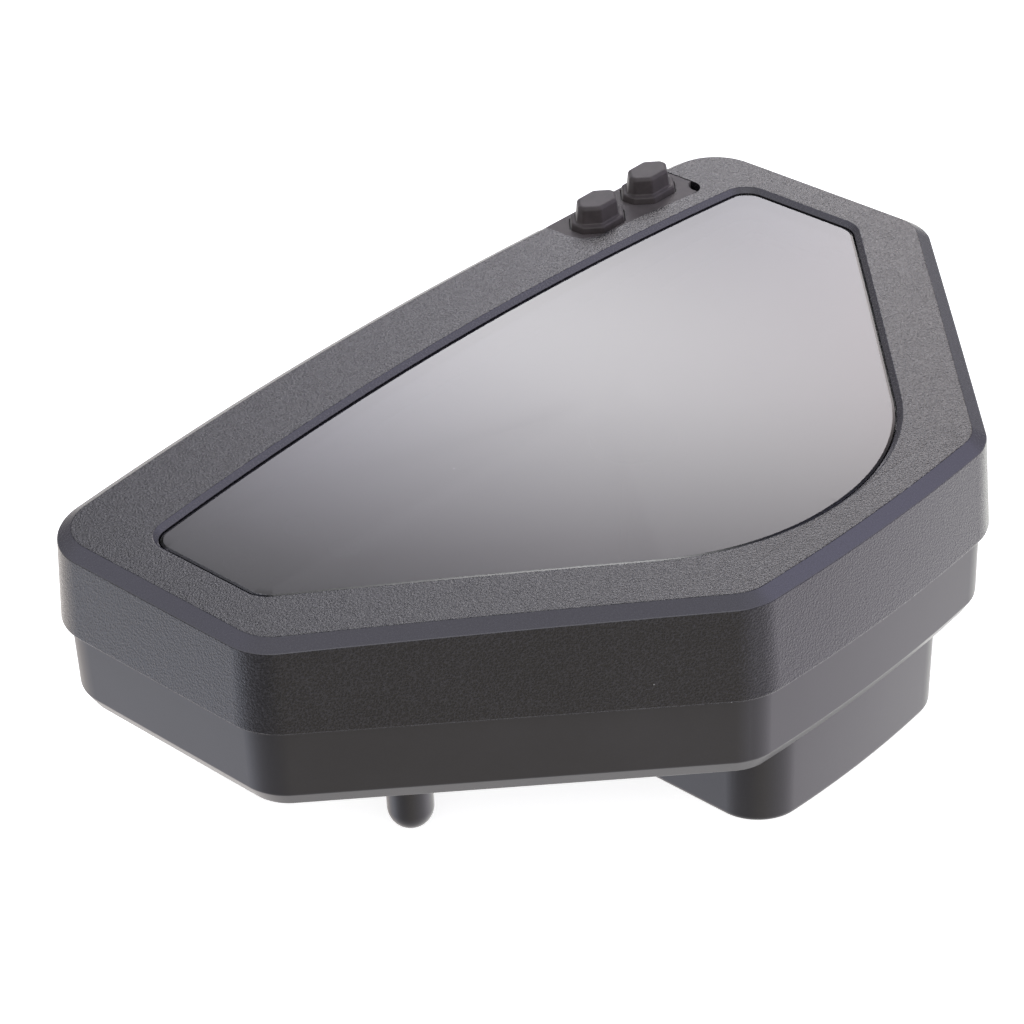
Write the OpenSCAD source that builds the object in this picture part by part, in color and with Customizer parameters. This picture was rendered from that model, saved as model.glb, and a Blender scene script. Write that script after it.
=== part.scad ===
// Motorcycle instrument cluster: a shield-shaped case with a smoked lens, a dial with one
// pointer, a small display and two push keys. Millimetres. +Z points out of the lens, +Y to
// the crown of the case, and the feet on its back stand on z = 0.

/* [Case outline] */
// Overall width across the shoulders
case_w = 230; // [190:1:280]
// Overall depth from crown to chin, with both bows
case_d = 145.5; // [120:0.5:176]
// Length of the straight upright sides
side_len = 68; // [55:1:80]
// Width of the chin between its corner points
chin_w = 80; // [60:1:96]
// Rise of the crown's bow
crown_bow = 3.5; // [1:0.5:8]
// Rise of the chin's bow
chin_bow = 2; // [0.5:0.5:4]
// Corner radii at shoulder, cheek and chin
corner_r = [14, 14, 12]; // [8:1:18]

/* [Case heights] */
// Height of the feet under the case floor
foot_h = 21.5; // [16:0.5:30]
// Height of the rear housing
rear_h = 21.5; // [19:0.5:28]
// Height of the bezel at its middle
bezel_h = 25; // [24:0.5:34]
// How far the bezel's wall leans out at the parting line
bezel_lean = 1.4; // [0:0.1:2.5]
// Radius of the bezel's and the lens's crown
crown_r = 2000; // [1400:50:4000]
// Wall of both shells
wall = 3; // [2.4:0.1:3.6]
// Floor of the rear housing
floor_t = 2.5; // [2:0.1:3.5]
// Width and height of the bezel's outer chamfer
edge_cut = [3.3, 2]; // [1:0.1:4]
// Width and height of the rear housing's lower chamfer
rear_cut = [2.5, 4.2]; // [1:0.1:5]
// Draft of the rear housing, at the parting line and above the chamfer
rear_inset = [0.8, 1]; // [0.2:0.1:4]

/* [Window and lens] */
// Bezel width beside, above and below the slanted window edges
rim = [13, 21.4, 17.1]; // [8:0.1:26]
// Radius of the window's round lower edge
chin_arc_r = 60; // [54:0.5:64]
// Rise of the window's bowed upper edge
window_bow = 3.8; // [1:0.1:6]
// Width and height of the bevel down to the lens
bevel = [1.2, 1.2]; // [0.8:0.1:3]
// Thickness of the lens in the window
lens_t = 2.5; // [1.8:0.1:3.5]
// Thickness of the lens flange under the bezel lip
flange_t = 2; // [1.5:0.1:2.5]
// Thickness of the lens gasket
gasket_t = 0.5; // [0.4:0.1:1]

/* [Keys] */
// Distance between the two keys
key_pitch = 19.2; // [18:0.1:24]
// Distance from the case side to the outer key
key_side = 31.8; // [30:0.1:40]
// Distance from the crown chord down to the keys
key_drop = 5.6; // [5:0.1:7]
// Key top width and depth
key_top = [12, 7.4]; // [6:0.1:13]
// Key collar width and depth
key_collar = [15.4, 11.2]; // [9:0.1:17]
// Length cut off each corner of a collar, along its sides
key_cut = 3.7; // [2:0.1:4.4]
// Height of the key above its collar
key_h = 4.4; // [2:0.1:6]
// Height of the collar above the pad
collar_h = 1.6; // [1.2:0.1:2.5]
// Key travel
key_travel = 1; // [0.6:0.1:1.2]
// Thickness of the rubber pad
pad_t = 2.2; // [1.8:0.1:3]
// Depth of the pad's top under the middle of the bezel
pad_drop = 2.2; // [1.6:0.1:3]
// Diameter of a key stem
stem_d = 5; // [4:0.1:6.5]

/* [Dial and pointer] */
// Pointer length from the shaft to its tip
pointer_len = 47; // [35:1:50]
// Diameter of the motor shaft
shaft_d = 1.5; // [1:0.1:2.4]
// Diameter of the pointer cap
cap_d = 20; // [14:1:24]
// Diameter of the stepper motor
motor_d = 28; // [24:1:32]
// Height of the stepper motor
motor_h = 9; // [8:0.5:10]
// Display glass width and depth
display = [40, 28]; // [24:1:42]
// Indicator lamp diameter
lamp_d = 7; // [5:0.5:9]

/* [Boards and fasteners] */
// Thickness of the circuit boards
board_t = 1.6; // [1:0.1:2]
// Height of the main board above the housing floor
board_lift = 15.5; // [13.5:0.5:18]
// Diameter of the case screws
case_screw_d = 3; // [2.5:0.1:4]
// Diameter of the board screws
board_screw_d = 2.5; // [2:0.1:3]

/* [Mounting] */
// Diameter of the lower mounting pegs
peg_d = 10.4; // [8:0.1:14]
// Distance between the lower mounting pegs
peg_pitch = 157.2; // [120:0.1:170]
// Width, depth and corner radius of the drum under the chin
drum_w = 66.5; // [50:0.5:76]
drum_d = 46; // [36:0.5:52]
drum_r = 10; // [8:0.5:16]
// Rise of the bow in the drum's front
drum_bow = 2; // [0:0.1:3]
// Distance from the chin to the drum
drum_inset = 6.7; // [5:0.1:10]
// Diameter of the upper mounting post
post_d = 14; // [12:0.5:18]
// Diameter of the screw hole in the upper post
post_hole_d = 5; // [4:0.1:6]
// Connector opening, width and depth
socket = [34, 12]; // [26:1:44]

/* [Hidden] */
$fn = 64;
slip = 0.3;
snug = 0.02;
seal_gap = 0.06;
arc_n = 8;
crown_n = 12;
slope_n = 6;
chin_n = 4;
least_r = 1.2;

// Heights of the stack, from the feet to the crown of the bezel
part_z = foot_h + rear_h;
top_z = part_z + bezel_h;
floor_z = foot_h + floor_t;
board_z = floor_z + board_lift;
lens_z = top_z - bevel[1];
flange_z = lens_z - lens_t;
plate_t = 3;
lip_z = flange_z + gasket_t;
box_z = board_z + board_t;
box_h = 10;
guide_z = box_z + box_h;
guide_t = 1.6;
dial_z = guide_z + guide_t;
dial_t = 0.8;
surround_z = dial_z + dial_t;
pointer_z = surround_z + 2.2;
// Direction of the pointer at zero, anticlockwise from +X
pointer_rest = 218;

// The case's six straight lines as [normal x, normal y, distance], counter-clockwise
half_w = case_w / 2;
crown_y = case_d / 2 - crown_bow;
chin_y = chin_bow - case_d / 2;
cheek_y = crown_y - side_len;
slope = [cheek_y - chin_y, chin_w / 2 - half_w] / norm([cheek_y - chin_y, chin_w / 2 - half_w]);
slope_d = slope * [half_w, cheek_y];
case_lines = hexagon_lines(half_w, crown_y, -chin_y, slope_d);
case_corners = [corner_r[0], corner_r[0], corner_r[1], corner_r[2], corner_r[2], corner_r[1]];

// The window's lines, with its lower edge as one arc about the dial's centre
dial_y = (slope_d - rim[2] - chin_arc_r) / slope.y;
window_flat = 0.5;
window_w = half_w - rim[0];
window_lines = hexagon_lines(window_w, crown_y - rim[1], chin_arc_r - window_flat - dial_y,
    slope_d - rim[2]);
window_corners = [6, 6, 8, chin_arc_r, chin_arc_r, 8];

// Places that several pieces share
boss_inset = 8.5;
boss_d = case_screw_d + 5;
boss_spots = [for (i = [0:5]) meet(moved(case_lines[i], boss_inset),
    moved(case_lines[(i + 1) % 6], boss_inset))];
board_inset = 14;
board_posts = [for (s = [-1, 1]) each [[s * (window_w - 16), crown_y - rim[1] - 6],
    beside_slope(s, window_w - 22, rim[2] + 4.8), beside_slope(s, chin_w / 2 - 6, rim[2] + 7)]];
post_w = board_screw_d + 4;
screw_head = [5, 1.6];
key_y = crown_y - key_drop;
key_x = [half_w - key_side - key_pitch, half_w - key_side];
tray_z = top_z - pad_drop - pad_t;
pad_z = tray_z + pad_t;
stem_z = tray_z - 6.9;
pill_h = 0.8;
pill_gap = key_travel + slip;
key_board_z = stem_z - pill_h - pill_gap - board_t;
key_board_screw_x = [key_x[0] - 7.4, key_x[1] + 7.2];
display_at = [window_w - 24, crown_y - 41];
display_frame_t = 1.2;
display_glass_t = 1.8;
backlight_t = 3;
glass_z = dial_z - display_frame_t - display_glass_t;
lamp_spots = [for (x = [0, 18], y = [0, 14]) [-window_w + 16 + x, display_at.y - 7 + y]];
socket_at = [0, 26];
socket_wall = 1.6;
socket_depth = 11;
peg_at = [peg_pitch / 2, -4.55];
stud_at = [60, -12.75];
post_at = [0, crown_y - 17];
processor_at = [-24, dial_y + 6.3, box_z];
motor_pin_d = 0.8;
motor_pin_spots = [for (sx = [-1, 1], sy = [-1, 1]) [sx * 7, dial_y + sy * 8]];
pin_d = 0.9;
pin_spots = [for (i = [0:9], j = [-1, 1]) socket_at + [(i - 4.5) * 2.5, j * 1.8]];
header_z = foot_h - 6;
shroud = socket + [2, 2] * socket_wall;
stud_d = 12.6;
stud_hole_d = 3.4;
stud_z = 7;
vent_at = [-40, 30];
vent_d = 9;

function hexagon_lines(side, top, bottom, slant) = [[1, 0, side], [0, 1, top], [-1, 0, side],
    [-slope.x, slope.y, slant], [0, -1, bottom], [slope.x, slope.y, slant]];

function moved(line, t) = [line.x, line.y, line.z - t];

function meet(a, b) = [a.z * b.y - a.y * b.z, a.x * b.z - a.z * b.x] / (a.x * b.y - a.y * b.x);

// Point at x that lies t inside the slanted edge, on side s
function beside_slope(s, x, t) = [s * x, (slope_d - t - slope.x * x) / slope.y];

function limited(v, low, high) = max(low, min(high, v));

// Arc that rounds the corner between two lines that are both moved in by t
function corner_arc(a, b, r, t) = let (
    q = max(r - t, least_r),
    centre = meet(moved(a, t + q), moved(b, t + q)),
    start = atan2(a.y, a.x),
    sweep = (atan2(b.y, b.x) - start + 720) % 360)
    [for (k = [0:arc_n]) centre + q * [cos(start + sweep * k / arc_n), sin(start + sweep * k / arc_n)]];

function between(p, q, n) = [for (k = [1:n - 1]) p + (q - p) * k / n];

function hexagon(lines, radii, t) = let (
    arcs = [for (i = [0:5]) corner_arc(lines[i], lines[(i + 1) % 6], radii[i], t)])
    concat(arcs[0], between(arcs[0][arc_n], arcs[1][0], crown_n), arcs[1], arcs[2],
        between(arcs[2][arc_n], arcs[3][0], slope_n), arcs[3],
        between(arcs[3][arc_n], arcs[4][0], chin_n), arcs[4],
        between(arcs[4][arc_n], arcs[5][0], slope_n), arcs[5]);

// Bows the crown outwards, and the chin too where it has a bow
function bowed(points, side, rise, chin_side, chin_rise) = [for (p = points) [p.x, p.y
    + rise * max(0, 1 - pow(p.x / side, 2)) * limited(p.y / 30, 0, 1)
    - chin_rise * max(0, 1 - pow(p.x / chin_side, 2)) * limited(-(p.y + 20) / 30, 0, 1)]];

// Outline of the case, and of its window, moved inwards by t
function case_ring(t) = bowed(hexagon(case_lines, case_corners, t), half_w, crown_bow, chin_w / 2, chin_bow);
function window_ring(t) = bowed(hexagon(window_lines, window_corners, t), window_w, window_bow, 1, 0);

function lifted(points, z) = [for (p = points) [p.x, p.y, z]];
function crowned(points, z) = [for (p = points) [p.x, p.y, z - p.x * p.x / 2 / crown_r]];

// Side faces between one ring of n points and the next
function side_faces(j, next, n) = [for (i = [0:n - 1]) let (a = j * n + i, b = j * n + (i + 1) % n,
    c = next * n + (i + 1) % n, d = next * n + i) each [[a, c, b], [a, d, c]]];

// Body of a section that runs round a closed path: each ring is one corner of the section
module ring_body(rings) {
    n = len(rings[0]);
    m = len(rings);
    faces = [for (j = [0:m - 1]) each side_faces(j, (j + 1) % m, n)];
    polyhedron(points = [for (r = rings) each r], faces = faces, convexity = 10);
}

// Solid stack of rings with a flat bottom and a flat top
module stack_body(rings) {
    n = len(rings[0]);
    m = len(rings);
    bottom = [[for (i = [0:n - 1]) i]];
    top = [[for (i = [0:n - 1]) m * n - 1 - i]];
    sides = [for (j = [0:m - 2]) each side_faces(j, j + 1, n)];
    polyhedron(points = [for (r = rings) each r], faces = concat(bottom, sides, top), convexity = 10);
}

module case_slab(t, h) {
    linear_extrude(h) polygon(case_ring(t));
}

module window_slab(t, h) {
    linear_extrude(h) polygon(window_ring(t));
}

// A layer between two crowned surfaces
module crowned_layer(z, t) {
    intersection() {
        translate([0, 0, z - 20]) children();
        difference() {
            crown_cylinder(z);
            crown_cylinder(z - t);
        }
    }
}

module crown_cylinder(z) {
    translate([0, 0, z - crown_r]) rotate([90, 0, 0])
        cylinder(r = crown_r, h = case_d + 10, center = true, $fn = 1440);
}

module eight_sided(size, cut, h) {
    a = size / 2;
    linear_extrude(h) polygon([[a.x, a.y - cut], [a.x - cut, a.y], [cut - a.x, a.y], [-a.x, a.y - cut],
        [-a.x, cut - a.y], [cut - a.x, -a.y], [a.x - cut, -a.y], [a.x, cut - a.y]]);
}

// Recess for the rubber pad, open at the back edge, with a slanted front
module pad_outline(t) {
    left = key_x[0] - 12.5 + t;
    right = key_x[1] + 10.8 - t;
    front = key_y - 7.3 + t;
    lean = 0.1;
    back = case_d / 2 + 10;
    r = 6 - t;
    q = 4 - t;
    union() {
        translate([left + r, front + r]) square([right - left - r - q, back - front - r]);
        translate([left, front + r]) square([r, back - front - r]);
        translate([right - q, front + q - lean * 28]) square([q, back - front - q]);
        polygon([[left + r, front], [right - q, front - lean * 28], [right - q, back], [left + r, back]]);
        translate([left + r, front + r]) circle(r);
        translate([right - q, front + q - lean * 28]) circle(q);
    }
}

module tray(z, h, grow) {
    intersection() {
        translate([0, 0, z]) linear_extrude(h) pad_outline(-grow);
        translate([0, 0, z]) case_slab(0.6, h);
    }
}

module front_bezel() {
    color("#3b3a3f") difference() {
        union() {
            ring_body([
                lifted(case_ring(-bezel_lean), part_z),
                crowned(case_ring(0), top_z - edge_cut[1]),
                crowned(case_ring(edge_cut[0]), top_z),
                crowned(window_ring(0), top_z),
                crowned(window_ring(bevel[0]), lens_z),
                crowned(window_ring(bevel[0]), lip_z),
                crowned(window_ring(-3.4), lip_z),
                crowned(window_ring(-4.2), top_z - plate_t),
                crowned(case_ring(wall), top_z - plate_t),
                lifted(case_ring(wall), part_z)]);
            bezel_bosses();
            tray(tray_z - 2, 4, 1.2);
            key_board_bosses();
        }
        translate([0, 0, tray_z]) linear_extrude(20) pad_outline(0);
        for (x = key_x) translate([x, key_y, tray_z - 5]) cylinder(d = stem_d + 2 * slip, h = 10);
        for (p = boss_spots) translate([p.x, p.y, part_z - 1]) cylinder(d = case_screw_d + 2 * snug, h = 15);
        for (x = key_board_screw_x) translate([x, key_y, key_board_z + board_t - 1])
            cylinder(d = 2 + 2 * snug, h = 6);
    }
}

module bezel_bosses() {
    for (p = boss_spots) translate([p.x, p.y, part_z])
        cylinder(d = boss_d, h = bezel_h - plate_t / 2 - p.x * p.x / 2 / crown_r);
}

module key_board_bosses() {
    foot = key_board_z + board_t;
    for (x = key_board_screw_x) translate([x, key_y, foot]) cylinder(d = 4.6, h = tray_z - 1 - foot);
}

module lens() {
    color("#55535a", 0.5) union() {
        crowned_layer(lens_z, lens_t) window_slab(bevel[0] + 0.2, 30);
        crowned_layer(flange_z, flange_t) window_slab(-2.8, 30);
    }
}

module lens_gasket() {
    color("#1c1c1e") crowned_layer(lip_z - seal_gap, gasket_t - 2 * seal_gap) difference() {
        window_slab(-2.6, 30);
        translate([0, 0, -1]) window_slab(bevel[0] - slip, 32);
    }
}

module dial_surround() {
    low = surround_z;
    high = flange_z - flange_t - slip;
    color("#202022") ring_body([
        lifted(window_ring(0.4), low),
        lifted(window_ring(-1.1), low),
        crowned(window_ring(-1.1), high),
        crowned(window_ring(0.4), high)]);
}

module display_hole(grow, z, h) {
    translate([display_at.x, display_at.y, z]) linear_extrude(h)
        square(display + [2, 2] * grow, center = true);
}

module lamp_holes(grow, z, h) {
    for (p = lamp_spots) translate([p.x, p.y, z]) cylinder(d = lamp_d + 2 * grow, h = h);
}

module shaft_hole(d, z, h) {
    translate([0, dial_y, z]) cylinder(d = d, h = h);
}

module dial_plate() {
    color("#161618") difference() {
        translate([0, 0, dial_z]) window_slab(-1.6, dial_t);
        display_hole(-1.5, dial_z - 1, 4);
        lamp_holes(slip / 2, dial_z - 1, 4);
        shaft_hole(6, dial_z - 1, 4);
    }
}

module light_guide() {
    color("#e8e8e4", 0.6) difference() {
        translate([0, 0, guide_z]) window_slab(4, guide_t);
        display_hole(2.4, guide_z - 1, 4);
        lamp_holes(1.6, guide_z - 1, 4);
        shaft_hole(9, guide_z - 1, 4);
    }
}

module light_box() {
    color("#d9d9d6") difference() {
        union() {
            difference() {
                translate([0, 0, box_z]) window_slab(4, box_h);
                translate([0, 0, box_z - 1]) window_slab(5.6, box_h + 2);
            }
            intersection() {
                union() {
                    display_hole(3.8, box_z, box_h);
                    lamp_holes(1.4, box_z, box_h);
                    shaft_hole(motor_d / 2, box_z, box_h);
                    light_box_ribs();
                }
                translate([0, 0, box_z]) window_slab(5, box_h);
            }
        }
        display_hole(2.4, box_z - 1, box_h + 2);
        lamp_holes(0, box_z - 1, box_h + 2);
        shaft_hole(motor_d / 2 - 3, box_z - 1, box_h + 2);
        for (p = board_posts) translate([p.x, p.y, box_z - 1])
            cylinder(d = screw_head[0] + 4 * slip, h = 1 + screw_head[1] + slip);
    }
}

module light_box_ribs() {
    rib = 1.4;
    for (a = [200, 270, 340]) translate([0, dial_y, box_z]) rotate(a)
        translate([motor_d / 4 - 1, -rib / 2, 0]) cube([case_w, rib, box_h]);
    for (p = lamp_spots) translate([-case_w, p.y - rib / 2, box_z]) cube([case_w + p.x, rib, box_h]);
    translate([display_at.x, display_at.y - rib / 2, box_z]) cube([case_w, rib, box_h]);
}

module indicator_lenses() {
    foot = guide_z - 3;
    color("#3a3d3a") for (p = lamp_spots) translate([p.x, p.y, foot])
        cylinder(d = lamp_d - 2 * snug, h = surround_z + 0.2 - foot);
}

module display_frame() {
    color("#222225") difference() {
        display_hole(2.2, dial_z - display_frame_t, display_frame_t);
        display_hole(-1.5, dial_z - display_frame_t - 1, 4);
    }
}

module display_glass() {
    color("#4a4f4a") display_hole(1.8, glass_z, display_glass_t);
}

module display_backlight() {
    low = glass_z - backlight_t;
    color("#e6e6e0") display_hole(1.8, low, backlight_t);
    color("#e6e6e0") for (sx = [-1, 1])
        translate([display_at.x + sx * (display.x / 2 - 1), display_at.y, box_z])
            cylinder(d = 3, h = low - box_z);
}

module pointer() {
    tail = 11;
    root_w = 4.4;
    tip_w = 1.2;
    color("#c9c6c4") translate([0, dial_y, pointer_z]) rotate(pointer_rest) difference() {
        union() {
            linear_extrude(1.4) polygon([[0, root_w / 2], [0, -root_w / 2], [pointer_len, -tip_w / 2],
                [pointer_len, tip_w / 2]]);
            translate([-tail, -root_w / 2, 0]) cube([tail, root_w, 1.4]);
            cylinder(d = 8, h = 1.4);
            translate([0, 0, -1]) cylinder(d = 5, h = 2);
        }
        translate([0, 0, -2]) cylinder(d = shaft_d + 2 * snug, h = 3);
    }
}

module pointer_cap() {
    cap_h = 1.8;
    color("#1a1a1c") translate([0, dial_y, pointer_z + 1.4]) rotate_extrude() polygon([[0, 0], [cap_d / 2, 0],
        [cap_d / 2, cap_h - 0.8], [cap_d / 2 - 0.8, cap_h], [0, cap_h]]);
}

module motor_shaft() {
    color("#b8b8bc") shaft_hole(shaft_d, board_z - motor_h + 2, pointer_z + 1 - board_z + motor_h - 2);
}

module stepper_motor() {
    ear = 3;
    color("#2c2c30") difference() {
        union() {
            shaft_hole(motor_d, board_z - motor_h, motor_h);
            for (sx = [-1, 1]) translate([sx * (motor_d / 2 + ear - 1), dial_y, board_z - 3])
                cylinder(d = 2 * ear, h = 3);
            shaft_hole(4, board_z - 1, board_t + 4);
        }
        shaft_hole(shaft_d + 2 * 0.05, board_z - motor_h + 2, motor_h + 20);
    }
}

module motor_pins() {
    color("#c8b070") for (p = motor_pin_spots) translate([p.x, p.y, board_z])
        cylinder(d = motor_pin_d, h = board_t + 1);
}

module button_pad() {
    color("#2b292b") difference() {
        intersection() {
            translate([0, 0, tray_z]) linear_extrude(pad_t) difference() {
                pad_outline(slip);
                translate([key_x[1] + 10.8, key_y - 8.6]) circle(3.4);
            }
            translate([0, 0, tray_z]) case_slab(0.8, pad_t);
        }
        for (x = key_x) translate([x, key_y, tray_z - 1])
            eight_sided(key_collar + [1, 1] * 2 * slip, key_cut + 0.2, pad_t + 2);
    }
}

module key_body(x) {
    collar_low = tray_z + key_travel + slip;
    collar_top = pad_z + collar_h;
    color("#343134") translate([x, key_y, 0]) union() {
        hull() {
            translate([0, 0, collar_low]) eight_sided(key_collar, key_cut, collar_top - 0.5 - collar_low);
            translate([0, 0, collar_low]) eight_sided(key_collar - [1, 1], key_cut - 0.3, collar_top - collar_low);
        }
        hull() {
            translate([0, 0, collar_top - 0.2]) eight_sided(key_top + [0.9, 0.9], key_cut - 0.5, 0.4);
            translate([0, 0, collar_top + key_h - 0.7]) eight_sided(key_top, key_cut - 0.7, 0.1);
            translate([0, 0, collar_top + key_h - 0.1]) eight_sided(key_top - [1.2, 1.2], key_cut - 1, 0.1);
        }
        translate([0, 0, stem_z]) cylinder(d = stem_d, h = collar_low + 0.5 - stem_z);
    }
}

module select_key() {
    key_body(key_x[0]);
}

module reset_key() {
    key_body(key_x[1]);
}

module contact_pill(x) {
    color("#151515") translate([x, key_y, stem_z - pill_h]) cylinder(d = stem_d - 1, h = pill_h);
}

module select_contact_pill() {
    contact_pill(key_x[0]);
}

module reset_contact_pill() {
    contact_pill(key_x[1]);
}

module key_board() {
    x0 = key_board_screw_x[0] - 3.2;
    x1 = key_board_screw_x[1] + 3.2;
    color("#1f5a38") difference() {
        translate([x0, key_y - 6.4, key_board_z]) cube([x1 - x0, 10, board_t]);
        for (x = key_board_screw_x) translate([x, key_y, key_board_z - 1]) cylinder(d = 2.4, h = board_t + 2);
    }
}

module key_contacts() {
    color("#caa64b") for (x = key_x, i = [-1:1])
        translate([x - 2.2, key_y - 0.4 + i * 1.6, key_board_z + board_t]) cube([4.4, 0.8, 0.05]);
}

module key_board_screws() {
    color("#9a9aa0") for (x = key_board_screw_x) translate([x, key_y, key_board_z]) {
        translate([0, 0, -1.4]) cylinder(d = 4, h = 1.4);
        translate([0, 0, -0.5]) cylinder(d = 2, h = board_t + 5);
    }
}

module key_ribbon() {
    y_top = key_y - 4.4;
    y_low = key_y - 10.4;
    t = 0.4;
    x = (key_x[0] + key_x[1]) / 2;
    color("#b9b4a6") translate([x - 5, 0, 0]) rotate([90, 0, 90]) linear_extrude(10) polygon([
        [y_top, key_board_z], [y_top - 2, key_board_z], [y_low - t, box_z + 4], [y_low - t, box_z],
        [y_low, box_z], [y_low, box_z + 4 - t], [y_top - 2 + t, key_board_z - t], [y_top, key_board_z - t]]);
}

module circuit_board() {
    color("#1d5636") difference() {
        translate([0, 0, board_z]) case_slab(board_inset, board_t);
        for (p = board_posts) translate([p.x, p.y, board_z - 1])
            cylinder(d = board_screw_d + 0.5, h = board_t + 2);
        shaft_hole(4.2, board_z - 1, board_t + 2);
        for (p = motor_pin_spots) translate([p.x, p.y, board_z - 1])
            cylinder(d = motor_pin_d + 2 * snug, h = board_t + 2);
        for (p = pin_spots) translate([p.x, p.y, board_z - 1])
            cylinder(d = pin_d + 2 * snug, h = board_t + 2);
    }
}

module processor() {
    color("#1b1b1d") translate(processor_at) linear_extrude(1.4) square(12, center = true);
    color("#b0b0b4") for (a = [0:90:270], i = [-4:4]) translate(processor_at) rotate(a)
        translate([5.9, i * 1.2 - 0.25, 0]) cube([1.8, 0.5, 0.5]);
}

module board_lamps() {
    color("#f0efe2") for (p = lamp_spots) translate([p.x - 1.6, p.y - 1.4, box_z]) cube([3.2, 2.8, 1.8]);
    color("#f0efe2") for (a = [-30:30:210]) translate([0, dial_y, box_z]) rotate(a)
        translate([34, -1.4, 0]) cube([3.2, 2.8, 1.8]);
}

module board_capacitors() {
    color("#8f9095") for (x = [30, 42, 54]) translate([x, 12, board_z - 8]) cylinder(d = 8, h = 8);
}

module voltage_regulator() {
    color("#202022") translate([-60, 24, board_z - 4.5]) cube([10, 9, 4.5]);
}

module connector_header() {
    color("#18181a") difference() {
        union() {
            translate([socket_at.x, socket_at.y, header_z]) linear_extrude(board_z - header_z)
                square(shroud, center = true);
            translate([socket_at.x, socket_at.y, floor_z]) linear_extrude(3)
                square(shroud + [6, 6], center = true);
        }
        translate([socket_at.x, socket_at.y, header_z - 1]) linear_extrude(socket_depth + 1)
            square(socket, center = true);
        for (p = pin_spots) translate([p.x, p.y, header_z]) cylinder(d = pin_d + 2 * snug, h = board_z);
    }
}

module connector_pins() {
    low = header_z + 4.5;
    color("#c9b26a") for (p = pin_spots) translate([p.x, p.y, low]) cylinder(d = pin_d, h = box_z + 1 - low);
}

module connector_gasket() {
    color("#7c3a30") translate([socket_at.x, socket_at.y, floor_z - 1]) linear_extrude(1) difference() {
        square(shroud + [5, 5], center = true);
        square(shroud + [0.2, 0.2], center = true);
    }
}

module board_screws() {
    color("#a2a2a8") for (p = board_posts) translate([p.x, p.y, board_z]) {
        translate([0, 0, board_t]) cylinder(d = screw_head[0], h = screw_head[1]);
        translate([0, 0, -8]) cylinder(d = board_screw_d, h = 8 + board_t + 0.5);
    }
}

// Outline of the drum at the chin, narrowed by t on each side, with its bowed front
function drum_ring(t) = let (
    w = drum_w / 2 - t,
    front = -case_d / 2 + drum_inset + t,
    back = front + drum_d - 2 * t,
    r = drum_r - t / 2,
    corners = [[w - r, front + r, -90], [w - r, back - r, 0], [r - w, back - r, 90], [r - w, front + r, 180]],
    arcs = [for (c = corners, k = [0:6]) [c.x + r * cos(c.z + k * 15), c.y + r * sin(c.z + k * 15)]],
    sides = concat(arcs, between(arcs[27], arcs[0], 8)))
    [for (p = sides) [p.x, p.y - (p.y < (front + back) / 2 ? drum_bow * max(0, 1 - pow(p.x / w, 2)) : 0)]];

module chin_drum(t) {
    draft = 0.6;
    edge = 1.2;
    stack_body([
        lifted(drum_ring(t + edge), t),
        lifted(drum_ring(t), t + edge),
        lifted(drum_ring(t - draft), floor_z - 0.6 + t * 0.6)]);
}

module rear_housing() {
    color("#343338") difference() {
        union() {
            difference() {
                rear_shell(0, part_z, foot_h);
                rear_shell(wall - rear_inset[0], part_z + 0.01, floor_z);
            }
            chin_drum(0);
            intersection() {
                rear_shell(0.2, part_z, foot_h);
                for (p = boss_spots) translate([p.x, p.y, foot_h]) cylinder(d = boss_d + 2, h = rear_h);
            }
            for (p = board_posts) translate([p.x, p.y, floor_z - 1]) cylinder(d = post_w, h = board_lift + 1);
            rear_feet();
            socket_rim();
            translate([vent_at.x, vent_at.y, foot_h - 3]) cylinder(d = vent_d + 4, h = 5);
        }
        chin_drum(2.4);
        for (p = boss_spots) translate([p.x, p.y, 0]) {
            translate([0, 0, foot_h - 1]) cylinder(d = case_screw_d + 4.4, h = rear_h - 8);
            cylinder(d = case_screw_d + 0.4, h = part_z + 5);
        }
        for (p = board_posts) translate([p.x, p.y, board_z - 9])
            cylinder(d = board_screw_d + 2 * snug, h = 10);
        translate([post_at.x, post_at.y, -1]) cylinder(d = post_hole_d, h = 17);
        for (sx = [-1, 1]) translate([sx * stud_at.x, stud_at.y, stud_z - 2])
            cylinder(d = stud_hole_d, h = 14);
        socket_cut();
        translate([vent_at.x, vent_at.y, foot_h - 4]) cylinder(d = 4, h = 10);
        translate([vent_at.x, vent_at.y, foot_h - 4]) cylinder(d = vent_d + 2 * snug, h = 3);
        seal_groove();
    }
}

// Drafted body of the rear housing, moved inwards by t and standing on z = low
module rear_shell(t, high, low) {
    stack_body([
        lifted(case_ring(rear_inset[1] + rear_cut[0] + t), low),
        lifted(case_ring(rear_inset[1] + t), low + rear_cut[1]),
        lifted(case_ring(rear_inset[0] + t), high)]);
}

module rear_feet() {
    for (sx = [-1, 1]) {
        translate([sx * peg_at.x, peg_at.y, peg_d / 2]) cylinder(d = peg_d, h = foot_h + 1 - peg_d / 2);
        translate([sx * peg_at.x, peg_at.y, peg_d / 2]) sphere(d = peg_d);
        translate([sx * stud_at.x, stud_at.y, stud_z]) cylinder(d = stud_d, h = foot_h + 1 - stud_z);
    }
    translate([post_at.x, post_at.y, 0]) cylinder(d = post_d, h = foot_h + 1);
}

module socket_rim() {
    translate([socket_at.x, socket_at.y, foot_h - 2]) linear_extrude(3)
        square(shroud + [8, 8], center = true);
}

module socket_cut() {
    translate([socket_at.x, socket_at.y, foot_h - 5]) linear_extrude(12)
        square(shroud + [0.4, 0.4], center = true);
    translate([socket_at.x, socket_at.y, floor_z - 1]) linear_extrude(3)
        square(shroud + [5.4, 5.4], center = true);
}

module seal_groove() {
    translate([0, 0, part_z - 1]) difference() {
        case_slab(1.3, 2);
        translate([0, 0, -1]) case_slab(2.4, 4);
    }
}

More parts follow.
